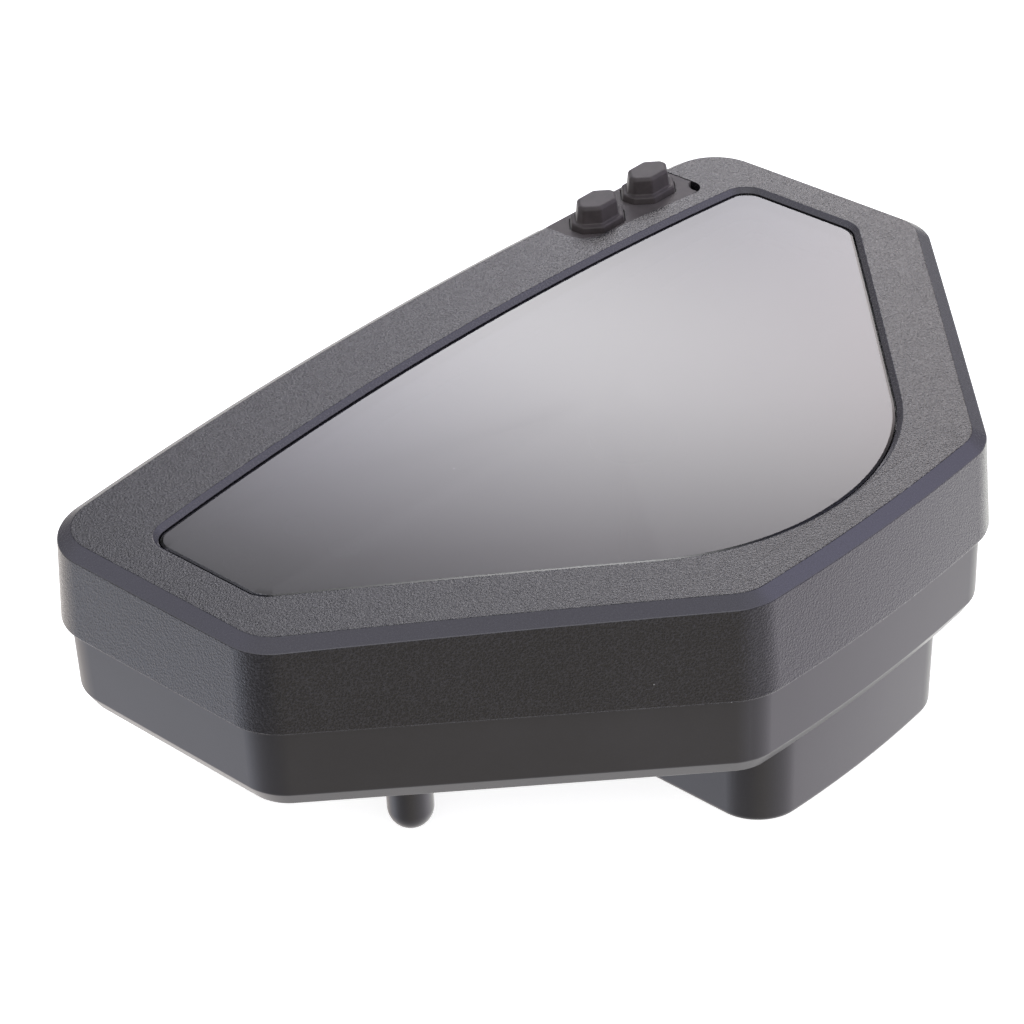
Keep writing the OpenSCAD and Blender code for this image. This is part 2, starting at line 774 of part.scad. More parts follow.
module housing_seal() {
    color("#1a1a1b") translate([0, 0, part_z - 1]) difference() {
        case_slab(1.35, 1);
        translate([0, 0, -1]) case_slab(2.35, 3);
    }
}

module case_screws() {
    head_z = foot_h + rear_h - 9;
    color("#a6a6aa") for (p = boss_spots) translate([p.x, p.y, head_z]) difference() {
        union() {
            translate([0, 0, -2.2]) cylinder(d = case_screw_d + 3.4, h = 2.2);
            translate([0, 0, -1]) cylinder(d = case_screw_d, h = 9 + 13);
        }
        translate([0, 0, -3]) cylinder(d = 2.6, h = 1.8, $fn = 6);
    }
}

module breather_vent() {
    color("#5b5b5e") translate([vent_at.x, vent_at.y, foot_h - 4]) difference() {
        cylinder(d = vent_d, h = 3);
        for (a = [0:60:300]) rotate(a) translate([2.8, 0, -1]) cylinder(d = 1, h = 5);
    }
}

front_bezel();
lens();
lens_gasket();
dial_surround();
dial_plate();
light_guide();
light_box();
indicator_lenses();
display_glass();
display_frame();
display_backlight();
pointer();
pointer_cap();
motor_shaft();
stepper_motor();
motor_pins();
button_pad();
select_key();
reset_key();
select_contact_pill();
reset_contact_pill();
key_board();
key_contacts();
key_board_screws();
key_ribbon();
circuit_board();
processor();
board_lamps();
board_capacitors();
voltage_regulator();
connector_header();
connector_pins();
connector_gasket();
board_screws();
rear_housing();
housing_seal();
case_screws();
breather_vent();
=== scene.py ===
"""Looks of a motorcycle instrument cluster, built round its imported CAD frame.

Shells, lens, rubber keys and dial print are remade here with rounded edges and real finishes.
The hidden electronics keep their CAD meshes and get their own materials.
"""

import math

import bmesh
import bpy
from mathutils import Matrix, Vector


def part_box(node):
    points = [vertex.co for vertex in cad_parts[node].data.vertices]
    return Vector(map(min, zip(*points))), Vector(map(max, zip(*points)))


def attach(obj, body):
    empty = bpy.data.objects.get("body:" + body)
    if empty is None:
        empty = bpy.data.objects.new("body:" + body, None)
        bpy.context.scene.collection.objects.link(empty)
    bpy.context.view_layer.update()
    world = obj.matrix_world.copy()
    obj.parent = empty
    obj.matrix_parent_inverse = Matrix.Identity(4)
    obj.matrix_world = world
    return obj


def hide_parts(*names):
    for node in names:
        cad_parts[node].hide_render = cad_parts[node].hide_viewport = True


bl_info = {
    "name": "Instrument cluster",
    "version": (1, 0, 0),
    "blender": (4, 5, 0),
    "location": "3D View > Sidebar > Cluster",
    "description": "Builds the cluster's shells, lens, keys, dial and finishes on its CAD frame",
    "category": "Object",
}

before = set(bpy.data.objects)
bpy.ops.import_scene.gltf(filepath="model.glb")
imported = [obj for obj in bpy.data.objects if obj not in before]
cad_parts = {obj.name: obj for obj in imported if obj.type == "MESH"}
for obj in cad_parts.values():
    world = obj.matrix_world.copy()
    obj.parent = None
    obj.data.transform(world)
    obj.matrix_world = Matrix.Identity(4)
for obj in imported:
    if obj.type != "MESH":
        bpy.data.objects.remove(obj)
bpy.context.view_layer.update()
MM = 0.001
STAND = "case"

# Plan places in millimetres, each mirrored left to right
BOARD_POSTS = [(side * x, y) for x, y in ((86, 42), (80, -2), (34, -43)) for side in (-1, 1)]
PEG = (78.6, -4.55)
STUD = (60, -12.75)

# The dial's scale: where its zero stands, anticlockwise from +X, and how far it runs clockwise
ZERO_ANGLE = 218
SWEEP = 256
NUMERALS = 13

# The camera's place in millimetres, its right and up directions, and its lens in millimetres
CAMERA_PLACE = (-472.18, -416.74, 456.95)
CAMERA_RIGHT = (0.67246, -0.73907, -0.03953)
CAMERA_UP = (0.43057, 0.34721, 0.8331)
CAMERA_LENS = 116.68

# The floor glows a little and stays out of reflections, which keeps it pale and the shells even
FLOOR_GLOW = 0.8

# Soft lights of the studio: azimuth, elevation and width in degrees, then linear colour.
# A separate least-squares fit gave all of them but the last three, which were chosen one by one.
STUDIO_LIGHTS = [
    (28, 20, 4.2, (2.62, 2.49, 2.47)),
    (36, 20, 4.2, (2.14, 2.23, 2.39)),
    (44, 20, 4.2, (0.00, 0.00, 0.19)),
    (28, 25, 4.2, (2.56, 2.34, 2.34)),
    (36, 25, 4.2, (0.42, 0.37, 0.47)),
    (28, 30, 4.2, (1.27, 0.98, 0.89)),
    (36, 30, 4.2, (2.73, 2.63, 2.74)),
    (44, 30, 4.2, (3.84, 3.85, 3.81)),
    (52, 30, 4.2, (1.14, 1.09, 1.62)),
    (44, 34, 4.2, (0.69, 0.60, 0.74)),
    (52, 34, 4.2, (1.21, 1.20, 1.17)),
    (-90, -40, 22, (0.57, 0.54, 0.54)),
    (-90, 5, 22, (0.04, 0.04, 0.14)),
    (-45, -40, 22, (0.77, 0.74, 0.77)),
    (-45, 5, 22, (0.55, 0.49, 0.77)),
    (0, -40, 22, (1.30, 1.32, 1.24)),
    (45, -40, 22, (1.07, 1.06, 1.05)),
    (90, -40, 22, (1.01, 0.91, 0.84)),
    (135, -40, 22, (0.36, 0.33, 0.36)),
    (136, -33, 12, (0.88, 1.04, 1.33)),
    (-131, -33, 12, (0.25, 0.18, 0.00)),
    (-44, -33, 12, (0.68, 0.60, 0.74)),
    (-20, 50, 12, (0.48, 0.46, 0.97)),
    (110, 52, 12, (0.00, 0.00, 0.19)),
    (43, -40, 12, (0.15, 0.15, 0.15)),
    (43, 60, 4, (7.87, 7.88, 7.90)),
    (62, 50, 4, (5.74, 5.79, 6.11)),
    (0, -90, 40, (0.59, 0.58, 0.60)),
    (-135, 40, 24, (1.70, 1.70, 1.70)),
    (135, 35, 24, (0.90, 0.90, 0.90)),
    (-45, 38, 24, (0.90, 0.90, 0.90)),
]

# ---------------------------------------------------------------- sizes and colours


class CaseSizes(bpy.types.PropertyGroup):
    """Sizes of the two shells and the lens, in millimetres"""

    side_len: bpy.props.FloatProperty(name="Side", description="Length of the upright sides", default=68)
    chin_w: bpy.props.FloatProperty(name="Chin", description="Width between the chin's corners", default=80)
    crown_bow: bpy.props.FloatProperty(name="Crown bow", description="Rise of the crown's bow", default=3.5)
    chin_bow: bpy.props.FloatProperty(name="Chin bow", description="Rise of the chin's bow", default=2)
    shoulder_r: bpy.props.FloatProperty(name="Shoulder radius", description="Upper corners", default=14)
    cheek_r: bpy.props.FloatProperty(name="Cheek radius", description="Side corners", default=14)
    chin_r: bpy.props.FloatProperty(name="Chin radius", description="Lower corners", default=12)
    crown_r: bpy.props.FloatProperty(name="Crown radius", description="Of the crowned face", default=2000)
    edge_in: bpy.props.FloatProperty(name="Chamfer width", description="Width of the chamfer", default=3.3)
    edge_down: bpy.props.FloatProperty(name="Chamfer height", description="Height of the chamfer", default=2)
    edge_soft: bpy.props.FloatProperty(name="Edge radius", description="Radius on moulded edges", default=0.7)
    lean: bpy.props.FloatProperty(name="Lean", description="How far the bezel's foot leans out", default=1.4)
    wall: bpy.props.FloatProperty(name="Wall", description="Wall of both shells", default=3)
    rim_side: bpy.props.FloatProperty(name="Side rim", description="Bezel beside the window", default=13)
    rim_top: bpy.props.FloatProperty(name="Top rim", description="Bezel above the window", default=21.4)
    rim_slope: bpy.props.FloatProperty(name="Slope rim", description="Bezel under the window", default=17.1)
    chin_arc: bpy.props.FloatProperty(name="Window arc", description="Radius of its foot", default=60)
    window_bow: bpy.props.FloatProperty(name="Window bow", description="Rise of its top", default=3.8)
    bevel_in: bpy.props.FloatProperty(name="Bevel width", description="Bevel down to the lens", default=1.2)
    bevel_down: bpy.props.FloatProperty(name="Bevel depth", description="Depth of the lens", default=1.2)


class Finishes(bpy.types.PropertyGroup):
    """Colours of the visible finishes"""

    bezel: bpy.props.StringProperty(name="Bezel", description="Grained black ABS, sRGB", default="#252428")
    # Painted reflection: the bezel's chamfers take this lighter, bluer colour
    bezel_edge: bpy.props.StringProperty(name="Bezel edge", description="Chamfers, sRGB", default="#46454c")
    housing: bpy.props.StringProperty(name="Housing", description="Satin black ABS, sRGB", default="#242326")
    # Painted sheen: the housing's leaning edges take this slightly lighter colour
    housing_edge: bpy.props.StringProperty(name="Housing edge", description="Edges, sRGB", default="#272727")
    dust: bpy.props.StringProperty(name="Dust", description="Specks on the shells, sRGB", default="#818181")
    lens_dust: bpy.props.StringProperty(name="Lens dust", description="Lens specks, sRGB", default="#cbcbcb")
    rubber: bpy.props.StringProperty(name="Keys", description="Black silicone, sRGB", default="#3a3435")
    lens: bpy.props.StringProperty(name="Lens", description="Smoke tint of the lens, sRGB", default="#38383c")
    dial: bpy.props.StringProperty(name="Dial", description="Dial ground, sRGB", default="#1d1d20")
    print_ink: bpy.props.StringProperty(name="Ink", description="Dial print, sRGB", default="#77777a")
    grain_mm: bpy.props.FloatProperty(name="Grain", description="Bezel's grain, millimetres", default=0.52)


# ---------------------------------------------------------------- outlines


def meet(a, b):
    """Where two lines (nx, ny, distance) cross."""
    det = a[0] * b[1] - a[1] * b[0]
    return ((a[2] * b[1] - a[1] * b[2]) / det, (a[0] * b[2] - a[2] * b[0]) / det)


def moved(line, t):
    """A line (nx, ny, distance) moved inwards by t."""
    return (line[0], line[1], line[2] - t)


def arc_points(centre, r, start, sweep, n):
    """Points of an arc, with both its ends."""
    return [
        (centre[0] + r * math.cos(start + sweep * k / n), centre[1] + r * math.sin(start + sweep * k / n))
        for k in range(n + 1)
    ]


def between(p, q, n):
    """Evenly spaced points between two points, without its ends."""
    return [(p[0] + (q[0] - p[0]) * k / n, p[1] + (q[1] - p[1]) * k / n) for k in range(1, n)]


def clamp(v, low, high):
    return max(low, min(high, v))


class Outline:
    """A six-sided outline with rounded corners, a bowed crown and a bowed chin."""

    CORNER_STEPS = 22
    CROWN_STEPS = 40
    CHIN_STEPS = 10
    SIDE_STEPS = 6

    def __init__(self, lines, radii, crown, chin):
        self.lines = lines
        self.radii = radii
        self.crown = crown
        self.chin = chin

    def ring(self, t):
        """The outline moved inwards by t, as (x, y) points, counter-clockwise."""
        arcs = []
        for i in range(6):
            a, b = self.lines[i], self.lines[(i + 1) % 6]
            r = max(self.radii[i] - t, 1.2)
            start = math.atan2(a[1], a[0])
            sweep = (math.atan2(b[1], b[0]) - start) % math.tau
            centre = meet(moved(a, t + r), moved(b, t + r))
            arcs.append(arc_points(centre, r, start, sweep, self.CORNER_STEPS))
        side = self.SIDE_STEPS
        steps = [self.CROWN_STEPS, side, side, self.CHIN_STEPS, side, side]
        points = []
        for i in range(6):
            points += arcs[i] + between(arcs[i][-1], arcs[(i + 1) % 6][0], steps[i])
        return [self.bowed(p) for p in points]

    def bowed(self, p):
        x, y = p
        side, rise = self.crown
        up = rise * max(0, 1 - (x / side) ** 2) * clamp(y / 30, 0, 1)
        side, rise = self.chin
        down = rise * max(0, 1 - (x / side) ** 2) * clamp(-(y + 20) / 30, 0, 1)
        return (x, y + up - down)


def node_box(node):
    """Low and high corners of a CAD node, in millimetres."""
    return [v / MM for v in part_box(node)]


def node_z(node):
    """Bottom and top of a CAD node, in millimetres."""
    return [v.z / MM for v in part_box(node)]


def plan_centre(low, high):
    """The middle of a box, seen from above."""
    return ((low.x + high.x) / 2, (low.y + high.y) / 2)


def shrunk(points, centre, share):
    """Draws (x, y) points towards a centre."""
    return [(centre[0] + (x - centre[0]) * share, centre[1] + (y - centre[1]) * share) for x, y in points]


class Shape:
    """Every place that the pieces share, in millimetres, from the frame and the case's sizes."""

    def __init__(self, sizes):
        low, high = node_box("front_bezel")
        self.part_z = low.z
        self.top_z = high.z
        self.foot_z = 21.5
        self.half_w = high.x - sizes.lean
        self.crown_y = high.y - sizes.crown_bow - sizes.lean
        self.chin_y = low.y + sizes.chin_bow + sizes.lean
        cheek_y = self.crown_y - sizes.side_len
        slope = Vector((cheek_y - self.chin_y, sizes.chin_w / 2 - self.half_w)).normalized()
        slope_d = slope.x * self.half_w + slope.y * cheek_y
        radii = [sizes.shoulder_r, sizes.shoulder_r, sizes.cheek_r, sizes.chin_r, sizes.chin_r, sizes.cheek_r]
        self.case = Outline(
            self.six_lines(slope, self.half_w, self.crown_y, -self.chin_y, slope_d),
            radii,
            (self.half_w, sizes.crown_bow),
            (sizes.chin_w / 2, sizes.chin_bow),
        )
        slant = slope_d - sizes.rim_slope
        self.dial_y = (slant - sizes.chin_arc) / slope.y
        self.window_w = self.half_w - sizes.rim_side
        flat = 0.5
        self.window = Outline(
            self.six_lines(
                slope, self.window_w, self.crown_y - sizes.rim_top, sizes.chin_arc - flat - self.dial_y, slant
            ),
            [6, 6, 8, sizes.chin_arc, sizes.chin_arc, 8],
            (self.window_w, sizes.window_bow),
            (1, 0),
        )
        self.crown_r = sizes.crown_r
        self.boss_spots = [
            meet(moved(self.case.lines[i], 8.5), moved(self.case.lines[(i + 1) % 6], 8.5)) for i in range(6)
        ]

    @staticmethod
    def six_lines(slope, side, top, bottom, slant):
        return [
            (1, 0, side),
            (0, 1, top),
            (-1, 0, side),
            (-slope.x, slope.y, slant),
            (0, -1, bottom),
            (slope.x, slope.y, slant),
        ]

    def crowned(self, points, z, share=1.0):
        """Lifts (x, y) points to z, lowered by the crown's fall times share."""
        return [(x, y, z - share * x * x / 2 / self.crown_r) for x, y in points]


def fillet(before, corner, after, r, n=5):
    """Points of an arc of radius r that rounds a corner of a section."""
    p, a, b = Vector(corner), Vector(before), Vector(after)
    u, w = (a - p).normalized(), (b - p).normalized()
    half = math.acos(clamp(u.dot(w), -1, 1)) / 2
    reach = min(r / math.tan(half), (a - p).length * 0.49, (b - p).length * 0.49)
    r = reach * math.tan(half)
    centre = p + (u + w).normalized() * (r / math.sin(half))
    start, end = p + u * reach - centre, p + w * reach - centre
    turn = start.angle_signed(end)
    points = []
    for k in range(n + 1):
        spun = start.copy()
        spun.rotate(Matrix.Rotation(-turn * k / n, 2))
        points.append(tuple(centre + spun))
    return points


def rounded_section(points, radii, n=5):
    """A closed or open section with each inner corner rounded; a radius of 0 keeps the corner."""
    out = [points[0]]
    for i in range(1, len(points) - 1):
        if radii[i]:
            out += fillet(points[i - 1], points[i], points[i + 1], radii[i], n)
        else:
            out.append(points[i])
    return out + [points[-1]]


# ---------------------------------------------------------------- meshes


def new_piece(name, verts, faces):
    """A mesh object from millimetre points, with its faces turned outwards."""
    mesh = bpy.data.meshes.new(name)
    mesh.from_pydata([[c * MM for c in v] for v in verts], [], faces)
    bm = bmesh.new()
    bm.from_mesh(mesh)
    bmesh.ops.remove_doubles(bm, verts=bm.verts, dist=1e-7)
    bmesh.ops.dissolve_degenerate(bm, edges=bm.edges, dist=1e-8)
    bmesh.ops.recalc_face_normals(bm, faces=bm.faces)
    bm.to_mesh(mesh)
    bm.free()
    piece = bpy.data.objects.new(name, mesh)
    bpy.context.scene.collection.objects.link(piece)
    return piece


def ring_faces(rows, n, closed):
    """Four-sided faces between rings of n points each, and from last to first if closed."""
    faces = []
    for j in range(rows if closed else rows - 1):
        k = (j + 1) % rows
        for i in range(n):
            m = (i + 1) % n
            faces.append((j * n + i, j * n + m, k * n + m, k * n + i))
    return faces


def ring_piece(name, rings):
    """A body whose section runs round a closed path."""
    n = len(rings[0])
    return new_piece(name, [p for r in rings for p in r], ring_faces(len(rings), n, True))


def stack_piece(name, rings):
    """A solid stack of rings, closed with a flat face at each end."""
    n, rows = len(rings[0]), len(rings)
    faces = ring_faces(rows, n, False)
    faces += [tuple(reversed(range(n))), tuple(range((rows - 1) * n, rows * n))]
    return new_piece(name, [p for r in rings for p in r], faces)


def slab_piece(name, points, low, high):
    """A flat plate from z low to z high."""
    return stack_piece(name, [[(x, y, z) for x, y in points] for z in (low, high)])


def lathe_piece(name, centre, section, steps=48):
    """A turned solid: section is a list of (radius, z) from its lower end to its upper end."""
    rings = []
    for r, z in section:
        ring = arc_points(centre, max(r, 0.001), 0, math.tau, steps)[:-1]
        rings.append([(x, y, z) for x, y in ring])
    return stack_piece(name, rings)


def box_points(centre, w, d, r=0.0):
    """An oblong, with its corners rounded by r."""
    corners = ((1, -1), (1, 1), (-1, 1), (-1, -1))
    if not r:
        return [(centre[0] + sx * w / 2, centre[1] + sy * d / 2) for sx, sy in corners]
    points = []
    for k, (sx, sy) in enumerate(corners):
        c = (centre[0] + sx * (w / 2 - r), centre[1] + sy * (d / 2 - r))
        points += arc_points(c, r, (k - 1) * math.pi / 2, math.pi / 2, 8)
    return points


def settle(piece):
    """Turns a piece with live modifiers into a plain mesh."""
    bpy.context.view_layer.update()
    graph = bpy.context.evaluated_depsgraph_get()
    mesh = bpy.data.meshes.new_from_object(piece.evaluated_get(graph))
    mesh.name = piece.name
    piece.modifiers.clear()
    piece.data = mesh
    return piece


def combine(piece, others, operation):
    """Joins, cuts or crosses a piece with other solids, which are used up."""
    group = bpy.data.collections.new("cutters")
    bpy.context.scene.collection.children.link(group)
    for other in others:
        bpy.context.scene.collection.objects.unlink(other)
        group.objects.link(other)
    step = piece.modifiers.new("combine", "BOOLEAN")
    step.operation = operation
    step.solver = "EXACT"
    step.operand_type = "COLLECTION"
    step.collection = group
    settle(piece)
    for other in others:
        bpy.data.objects.remove(other)
    bpy.data.collections.remove(group)
    return piece


def soften(piece, width_mm, segments):
    """Rounds the sharp edges of a piece."""
    edge = piece.modifiers.new("soft edges", "BEVEL")
    edge.width = width_mm * MM
    edge.segments = segments
    edge.limit_method = "ANGLE"
    edge.angle_limit = math.radians(50)
    return settle(piece)


def smooth(piece, degrees=32):
    """Smooth shading with true creases, and flat faces that stay flat."""
    piece.data.shade_smooth()
    piece.data.set_sharp_from_angle(angle=math.radians(degrees))
    step = piece.modifiers.new("flat faces", "WEIGHTED_NORMAL")
    step.keep_sharp = True
    return settle(piece)


def finish_piece(piece, material, slot_name, body, *nodes):
    """Gives a piece its material and body, and hides the CAD nodes that it stands for; slot_name is not used.
    """
    piece.data.materials.clear()
    piece.data.materials.append(material)
    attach(piece, body)
    if nodes:
        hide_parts(*nodes)
    return piece


# ---------------------------------------------------------------- materials


def linear(code):
    """Linear RGBA of an sRGB hex value."""
    parts = [int(code[i : i + 2], 16) / 255 for i in (1, 3, 5)]
    return tuple(c / 12.92 if c <= 0.04045 else ((c + 0.055) / 1.055) ** 2.4 for c in parts) + (1.0,)


def shaded(code, factor):
    """The hex colour's linear value times factor."""
    return tuple(c * factor for c in linear(code)[:3]) + (1.0,)


def add(tree, kind, settings=None, links=None):
    """Adds a node. Settings are attributes or input values, links are input name to output socket."""
    made = tree.nodes.new(kind)
    for key, value in (settings or {}).items():
        if isinstance(key, str) and hasattr(made, key):
            setattr(made, key, value)
        else:
            made.inputs[key].default_value = value
    for key, source in (links or {}).items():
        tree.links.new(source, made.inputs[key])
    return made


def start_material(name, **shader):
    """A new material with one Principled shader that has the given constant inputs."""
    material = bpy.data.materials.new(name)
    material.use_nodes = True
    tree = material.node_tree
    tree.nodes.clear()
    surface = add(tree, "ShaderNodeBsdfPrincipled", {k.replace("_", " "): v for k, v in shader.items()})
    out = add(tree, "ShaderNodeOutputMaterial")
    tree.links.new(surface.outputs[0], out.inputs["Surface"])
    place = add(tree, "ShaderNodeTexCoord").outputs["Object"]
    return material, tree, surface, place


def noise(tree, place, size_mm, detail=3.0, roughness=0.55):
    """Value of a noise whose blotches are about size_mm across."""
    settings = {"Scale": 1 / (size_mm * MM), "Detail": detail, "Roughness": roughness}
    return add(tree, "ShaderNodeTexNoise", settings, {"Vector": place}).outputs[0]


def ramp(tree, value, low, high, dark, light):
    """Colour that runs from dark at low to light at high."""
    made = add(tree, "ShaderNodeValToRGB", None, {0: value})
    stops = made.color_ramp.elements
    stops[0].position, stops[1].position = low, high
    stops[0].color, stops[1].color = dark, light
    return made.outputs[0]


def grained_abs(name, code, edge, grain_mm, depth_mm, rough, contrast):
    """Injection-moulded ABS: pigment mottle, spark-eroded grain, smooth chamfers, a few dust specks.

    The grain breaks the gloss into a fine sparkle; the chamfers, left smooth, shine as one band, and a
    lighter edge colour laid on them paints their reflection.
    """
    material, tree, surface, place = start_material(name, IOR=1.53)
    wide = noise(tree, place, 25)
    ground = ramp(tree, wide, 0.35, 0.68, shaded(code, 0.92), shaded(code, 1.1))
    craters = {"normalize": True, "Scale": 1 / (grain_mm * MM), "Detail": 1.5, "Roughness": 0.6}
    pits = add(tree, "ShaderNodeTexVoronoi", craters, {"Vector": place}).outputs[0]
    # Chamfers are smooth in the mould, so the grain stops where the surface leans about 30 to 60 degrees, and
    # there the edge colour is painted on as their reflection
    normal = tree.nodes["Texture Coordinate"].outputs["Normal"]
    facing = add(tree, "ShaderNodeSeparateXYZ", None, {0: normal}).outputs[2]
    away = add(tree, "ShaderNodeMath", {"operation": "SUBTRACT", 1: 0.72}, {0: facing}).outputs[0]
    away = add(tree, "ShaderNodeMath", {"operation": "ABSOLUTE"}, {0: away}).outputs[0]
    mask = {"From Min": 0.19, "From Max": 0.23, "To Min": 0.05, "To Max": 1.0}
    grained = add(tree, "ShaderNodeMapRange", mask, {"Value": away}).outputs[0]
    plain = [1 - contrast] * 3 + [1], [1 + contrast] * 3 + [1]
    grain_tone = ramp(tree, pits, 0.2, 0.6, *plain)
    blend = {"data_type": "RGBA", "blend_type": "MULTIPLY", 0: 1.0}
    toned = add(tree, "ShaderNodeMix", blend, {6: ground, 7: grain_tone}).outputs[2]
    # Painted reflection: faces that lean about 30 to 60 degrees take the lighter edge colour in place of the
    # grained ground
    blend = {"data_type": "RGBA", "blend_type": "MIX", 6: linear(edge)}
    cut = add(tree, "ShaderNodeMix", blend, {0: grained, 7: toned}).outputs[2]
    dust = add(tree, "ShaderNodeTexVoronoi", {"Scale": 1 / (9 * MM)}, {"Vector": place}).outputs[0]
    speck = ramp(tree, dust, 0.012, 0.02, (1, 1, 1, 1), (0, 0, 0, 1))
    blend = {"data_type": "RGBA", "blend_type": "MIX", 7: linear(finishes().dust)}
    dusty = add(tree, "ShaderNodeMix", blend, {0: speck, 6: cut}).outputs[2]
    tree.links.new(dusty, surface.inputs["Base Color"])
    spread = 0.2 * contrast
    gloss_range = {"From Min": 0.2, "From Max": 0.6, "To Min": rough - spread, "To Max": rough + spread}
    gloss = add(tree, "ShaderNodeMapRange", gloss_range, {"Value": pits})
    tree.links.new(gloss.outputs[0], surface.inputs["Roughness"])
    bump = add(tree, "ShaderNodeBump", {"Distance": depth_mm * MM}, {"Height": pits, "Strength": grained})
    tree.links.new(bump.outputs[0], surface.inputs["Normal"])
    return material


def soft_rubber(name, code, rough=0.5):
    """Moulded silicone: matte, faintly dusty, with a soft bloom on grazing faces."""
    material, tree, surface, place = start_material(
        name, Roughness=rough, IOR=1.43, Sheen_Weight=0.25, Sheen_Roughness=0.45
    )
    tone = noise(tree, place, 3.0, 4.0)
    tree.links.new(
        ramp(tree, tone, 0.3, 0.7, shaded(code, 0.8), shaded(code, 1.3)), surface.inputs["Base Color"]
    )
    # The pore of moulded silicone is finer than this; it is drawn coarse enough to show
    fine = noise(tree, place, 0.25)
    bump = add(tree, "ShaderNodeBump", {"Strength": 0.6, "Distance": 0.02 * MM}, {"Height": fine})
    tree.links.new(bump.outputs[0], surface.inputs["Normal"])
    return material


def plain_moulding(name, code, rough, ior=1.5, tone_mm=4.0, bump_mm=0.01, metallic=0.0):
    """A plain moulded, plated or printed surface with slight tone and texture of its own."""
    material, tree, surface, place = start_material(name, Roughness=rough, IOR=ior, Metallic=metallic)
    tone = noise(tree, place, tone_mm, 4.0)
    tree.links.new(
        ramp(tree, tone, 0.3, 0.7, shaded(code, 0.85), shaded(code, 1.15)), surface.inputs["Base Color"]
    )
    fine = noise(tree, place, tone_mm / 10)
    bump = add(tree, "ShaderNodeBump", {"Strength": 0.5, "Distance": bump_mm * MM}, {"Height": fine})
    tree.links.new(bump.outputs[0], surface.inputs["Normal"])
    return material


def smoked_polycarbonate(name, code):
    """Smoke-tinted polycarbonate, hard coated: clear gloss, faint smears and a few dust specks."""
    material, tree, surface, place = start_material(name, IOR=1.585, Transmission_Weight=1.0)
    smear = noise(tree, place, 30, 2.0)
    rough = add(
        tree,
        "ShaderNodeMapRange",
        {"From Min": 0.35, "From Max": 0.75, "To Min": 0.03, "To Max": 0.06},
        {"Value": smear},
    )
    tree.links.new(rough.outputs[0], surface.inputs["Roughness"])
    dust = add(tree, "ShaderNodeTexVoronoi", {"Scale": 1 / (9 * MM)}, {"Vector": place}).outputs[0]
    tint = ramp(tree, dust, 0.012, 0.016, linear(finishes().lens_dust), linear(code))
    tree.links.new(tint, surface.inputs["Base Color"])
    return material


def solder_mask(name, code):
    """Green solder mask over copper tracks, which show as lighter lines."""
    material, tree, surface, place = start_material(name, Roughness=0.35, IOR=1.55)
    lines = add(
        tree,
        "ShaderNodeTexWave",
        {"Scale": 1 / (12 * MM), "Distortion": 6.0, "Detail": 1.0, "bands_direction": "DIAGONAL"},
        {"Vector": place},
    ).outputs[1]
    tone = ramp(tree, lines, 0.45, 0.55, shaded(code, 0.9), shaded(code, 1.5))
    tree.links.new(tone, surface.inputs["Base Color"])
    bump = add(tree, "ShaderNodeBump", {"Strength": 0.5, "Distance": 0.03 * MM}, {"Height": lines})
    tree.links.new(bump.outputs[0], surface.inputs["Normal"])
    return material


# ---------------------------------------------------------------- repeated pieces


class CopiesTree:
    """Geometry Nodes tree that sets one shape on every point of a mesh."""

    def __init__(self, name, sizes):
        self.tree = bpy.data.node_groups.new(name, "GeometryNodeTree")
        face = self.tree.interface
        made = face.new_socket("Geometry", in_out="INPUT", socket_type="NodeSocketGeometry")
        self.sockets = {"Geometry": made}
        face.new_socket("Geometry", in_out="OUTPUT", socket_type="NodeSocketGeometry")
        for key, value in sizes.items():
            made = face.new_socket(key, in_out="INPUT", socket_type="NodeSocketFloat")
            made.default_value = value
            self.sockets[key] = made
        made = face.new_socket("Material", in_out="INPUT", socket_type="NodeSocketMaterial")
        self.sockets["Material"] = made
        self.entry = self.tree.nodes.new("NodeGroupInput")

    def size(self, key):
        return self.entry.outputs[key]

    def close(self, shape, turn=None):
        """Ends the tree: the shape's copies are realised and given the material."""
        links = {"Points": self.entry.outputs["Geometry"], "Instance": shape}
        copies = add(self.tree, "GeometryNodeInstanceOnPoints", None, links)
        if turn:
            self.tree.links.new(turn, copies.inputs["Rotation"])
        real = add(self.tree, "GeometryNodeRealizeInstances", None, {0: copies.outputs[0]})
        links = {"Geometry": real.outputs[0], "Material": self.entry.outputs["Material"]}
        painted = add(self.tree, "GeometryNodeSetMaterial", None, links)
        add(self.tree, "NodeGroupOutput", None, {0: painted.outputs[0]})

    def grow(self, name, points, material, values):
        """A piece of one copy for each millimetre point."""
        mesh = bpy.data.meshes.new(name)
        mesh.from_pydata([[c * MM for c in p] for p in points], [], [])
        piece = bpy.data.objects.new(name, mesh)
        bpy.context.scene.collection.objects.link(piece)
        step = piece.modifiers.new("copies", "NODES")
        step.node_group = self.tree
        for key, value in values.items():
            step[self.sockets[key].identifier] = value
        step[self.sockets["Material"].identifier] = material
        return settle(piece)


def moved_part(tree, shape, offset_z):
    """A shape raised by a size socket's value."""
    up = add(tree, "ShaderNodeCombineXYZ", None, {"Z": offset_z}).outputs[0]
    return add(tree, "GeometryNodeTransform", None, {"Geometry": shape, "Translation": up}).outputs[0]


def bar(tree, sides, radius, depth):
    links = {"Radius": radius, "Depth": depth}
    return add(tree, "GeometryNodeMeshCylinder", {"Vertices": sides}, links).outputs[0]


def halved(tree, value, sign=1.0):
    return add(tree, "ShaderNodeMath", {"operation": "MULTIPLY", 1: 0.5 * sign}, {0: value}).outputs[0]


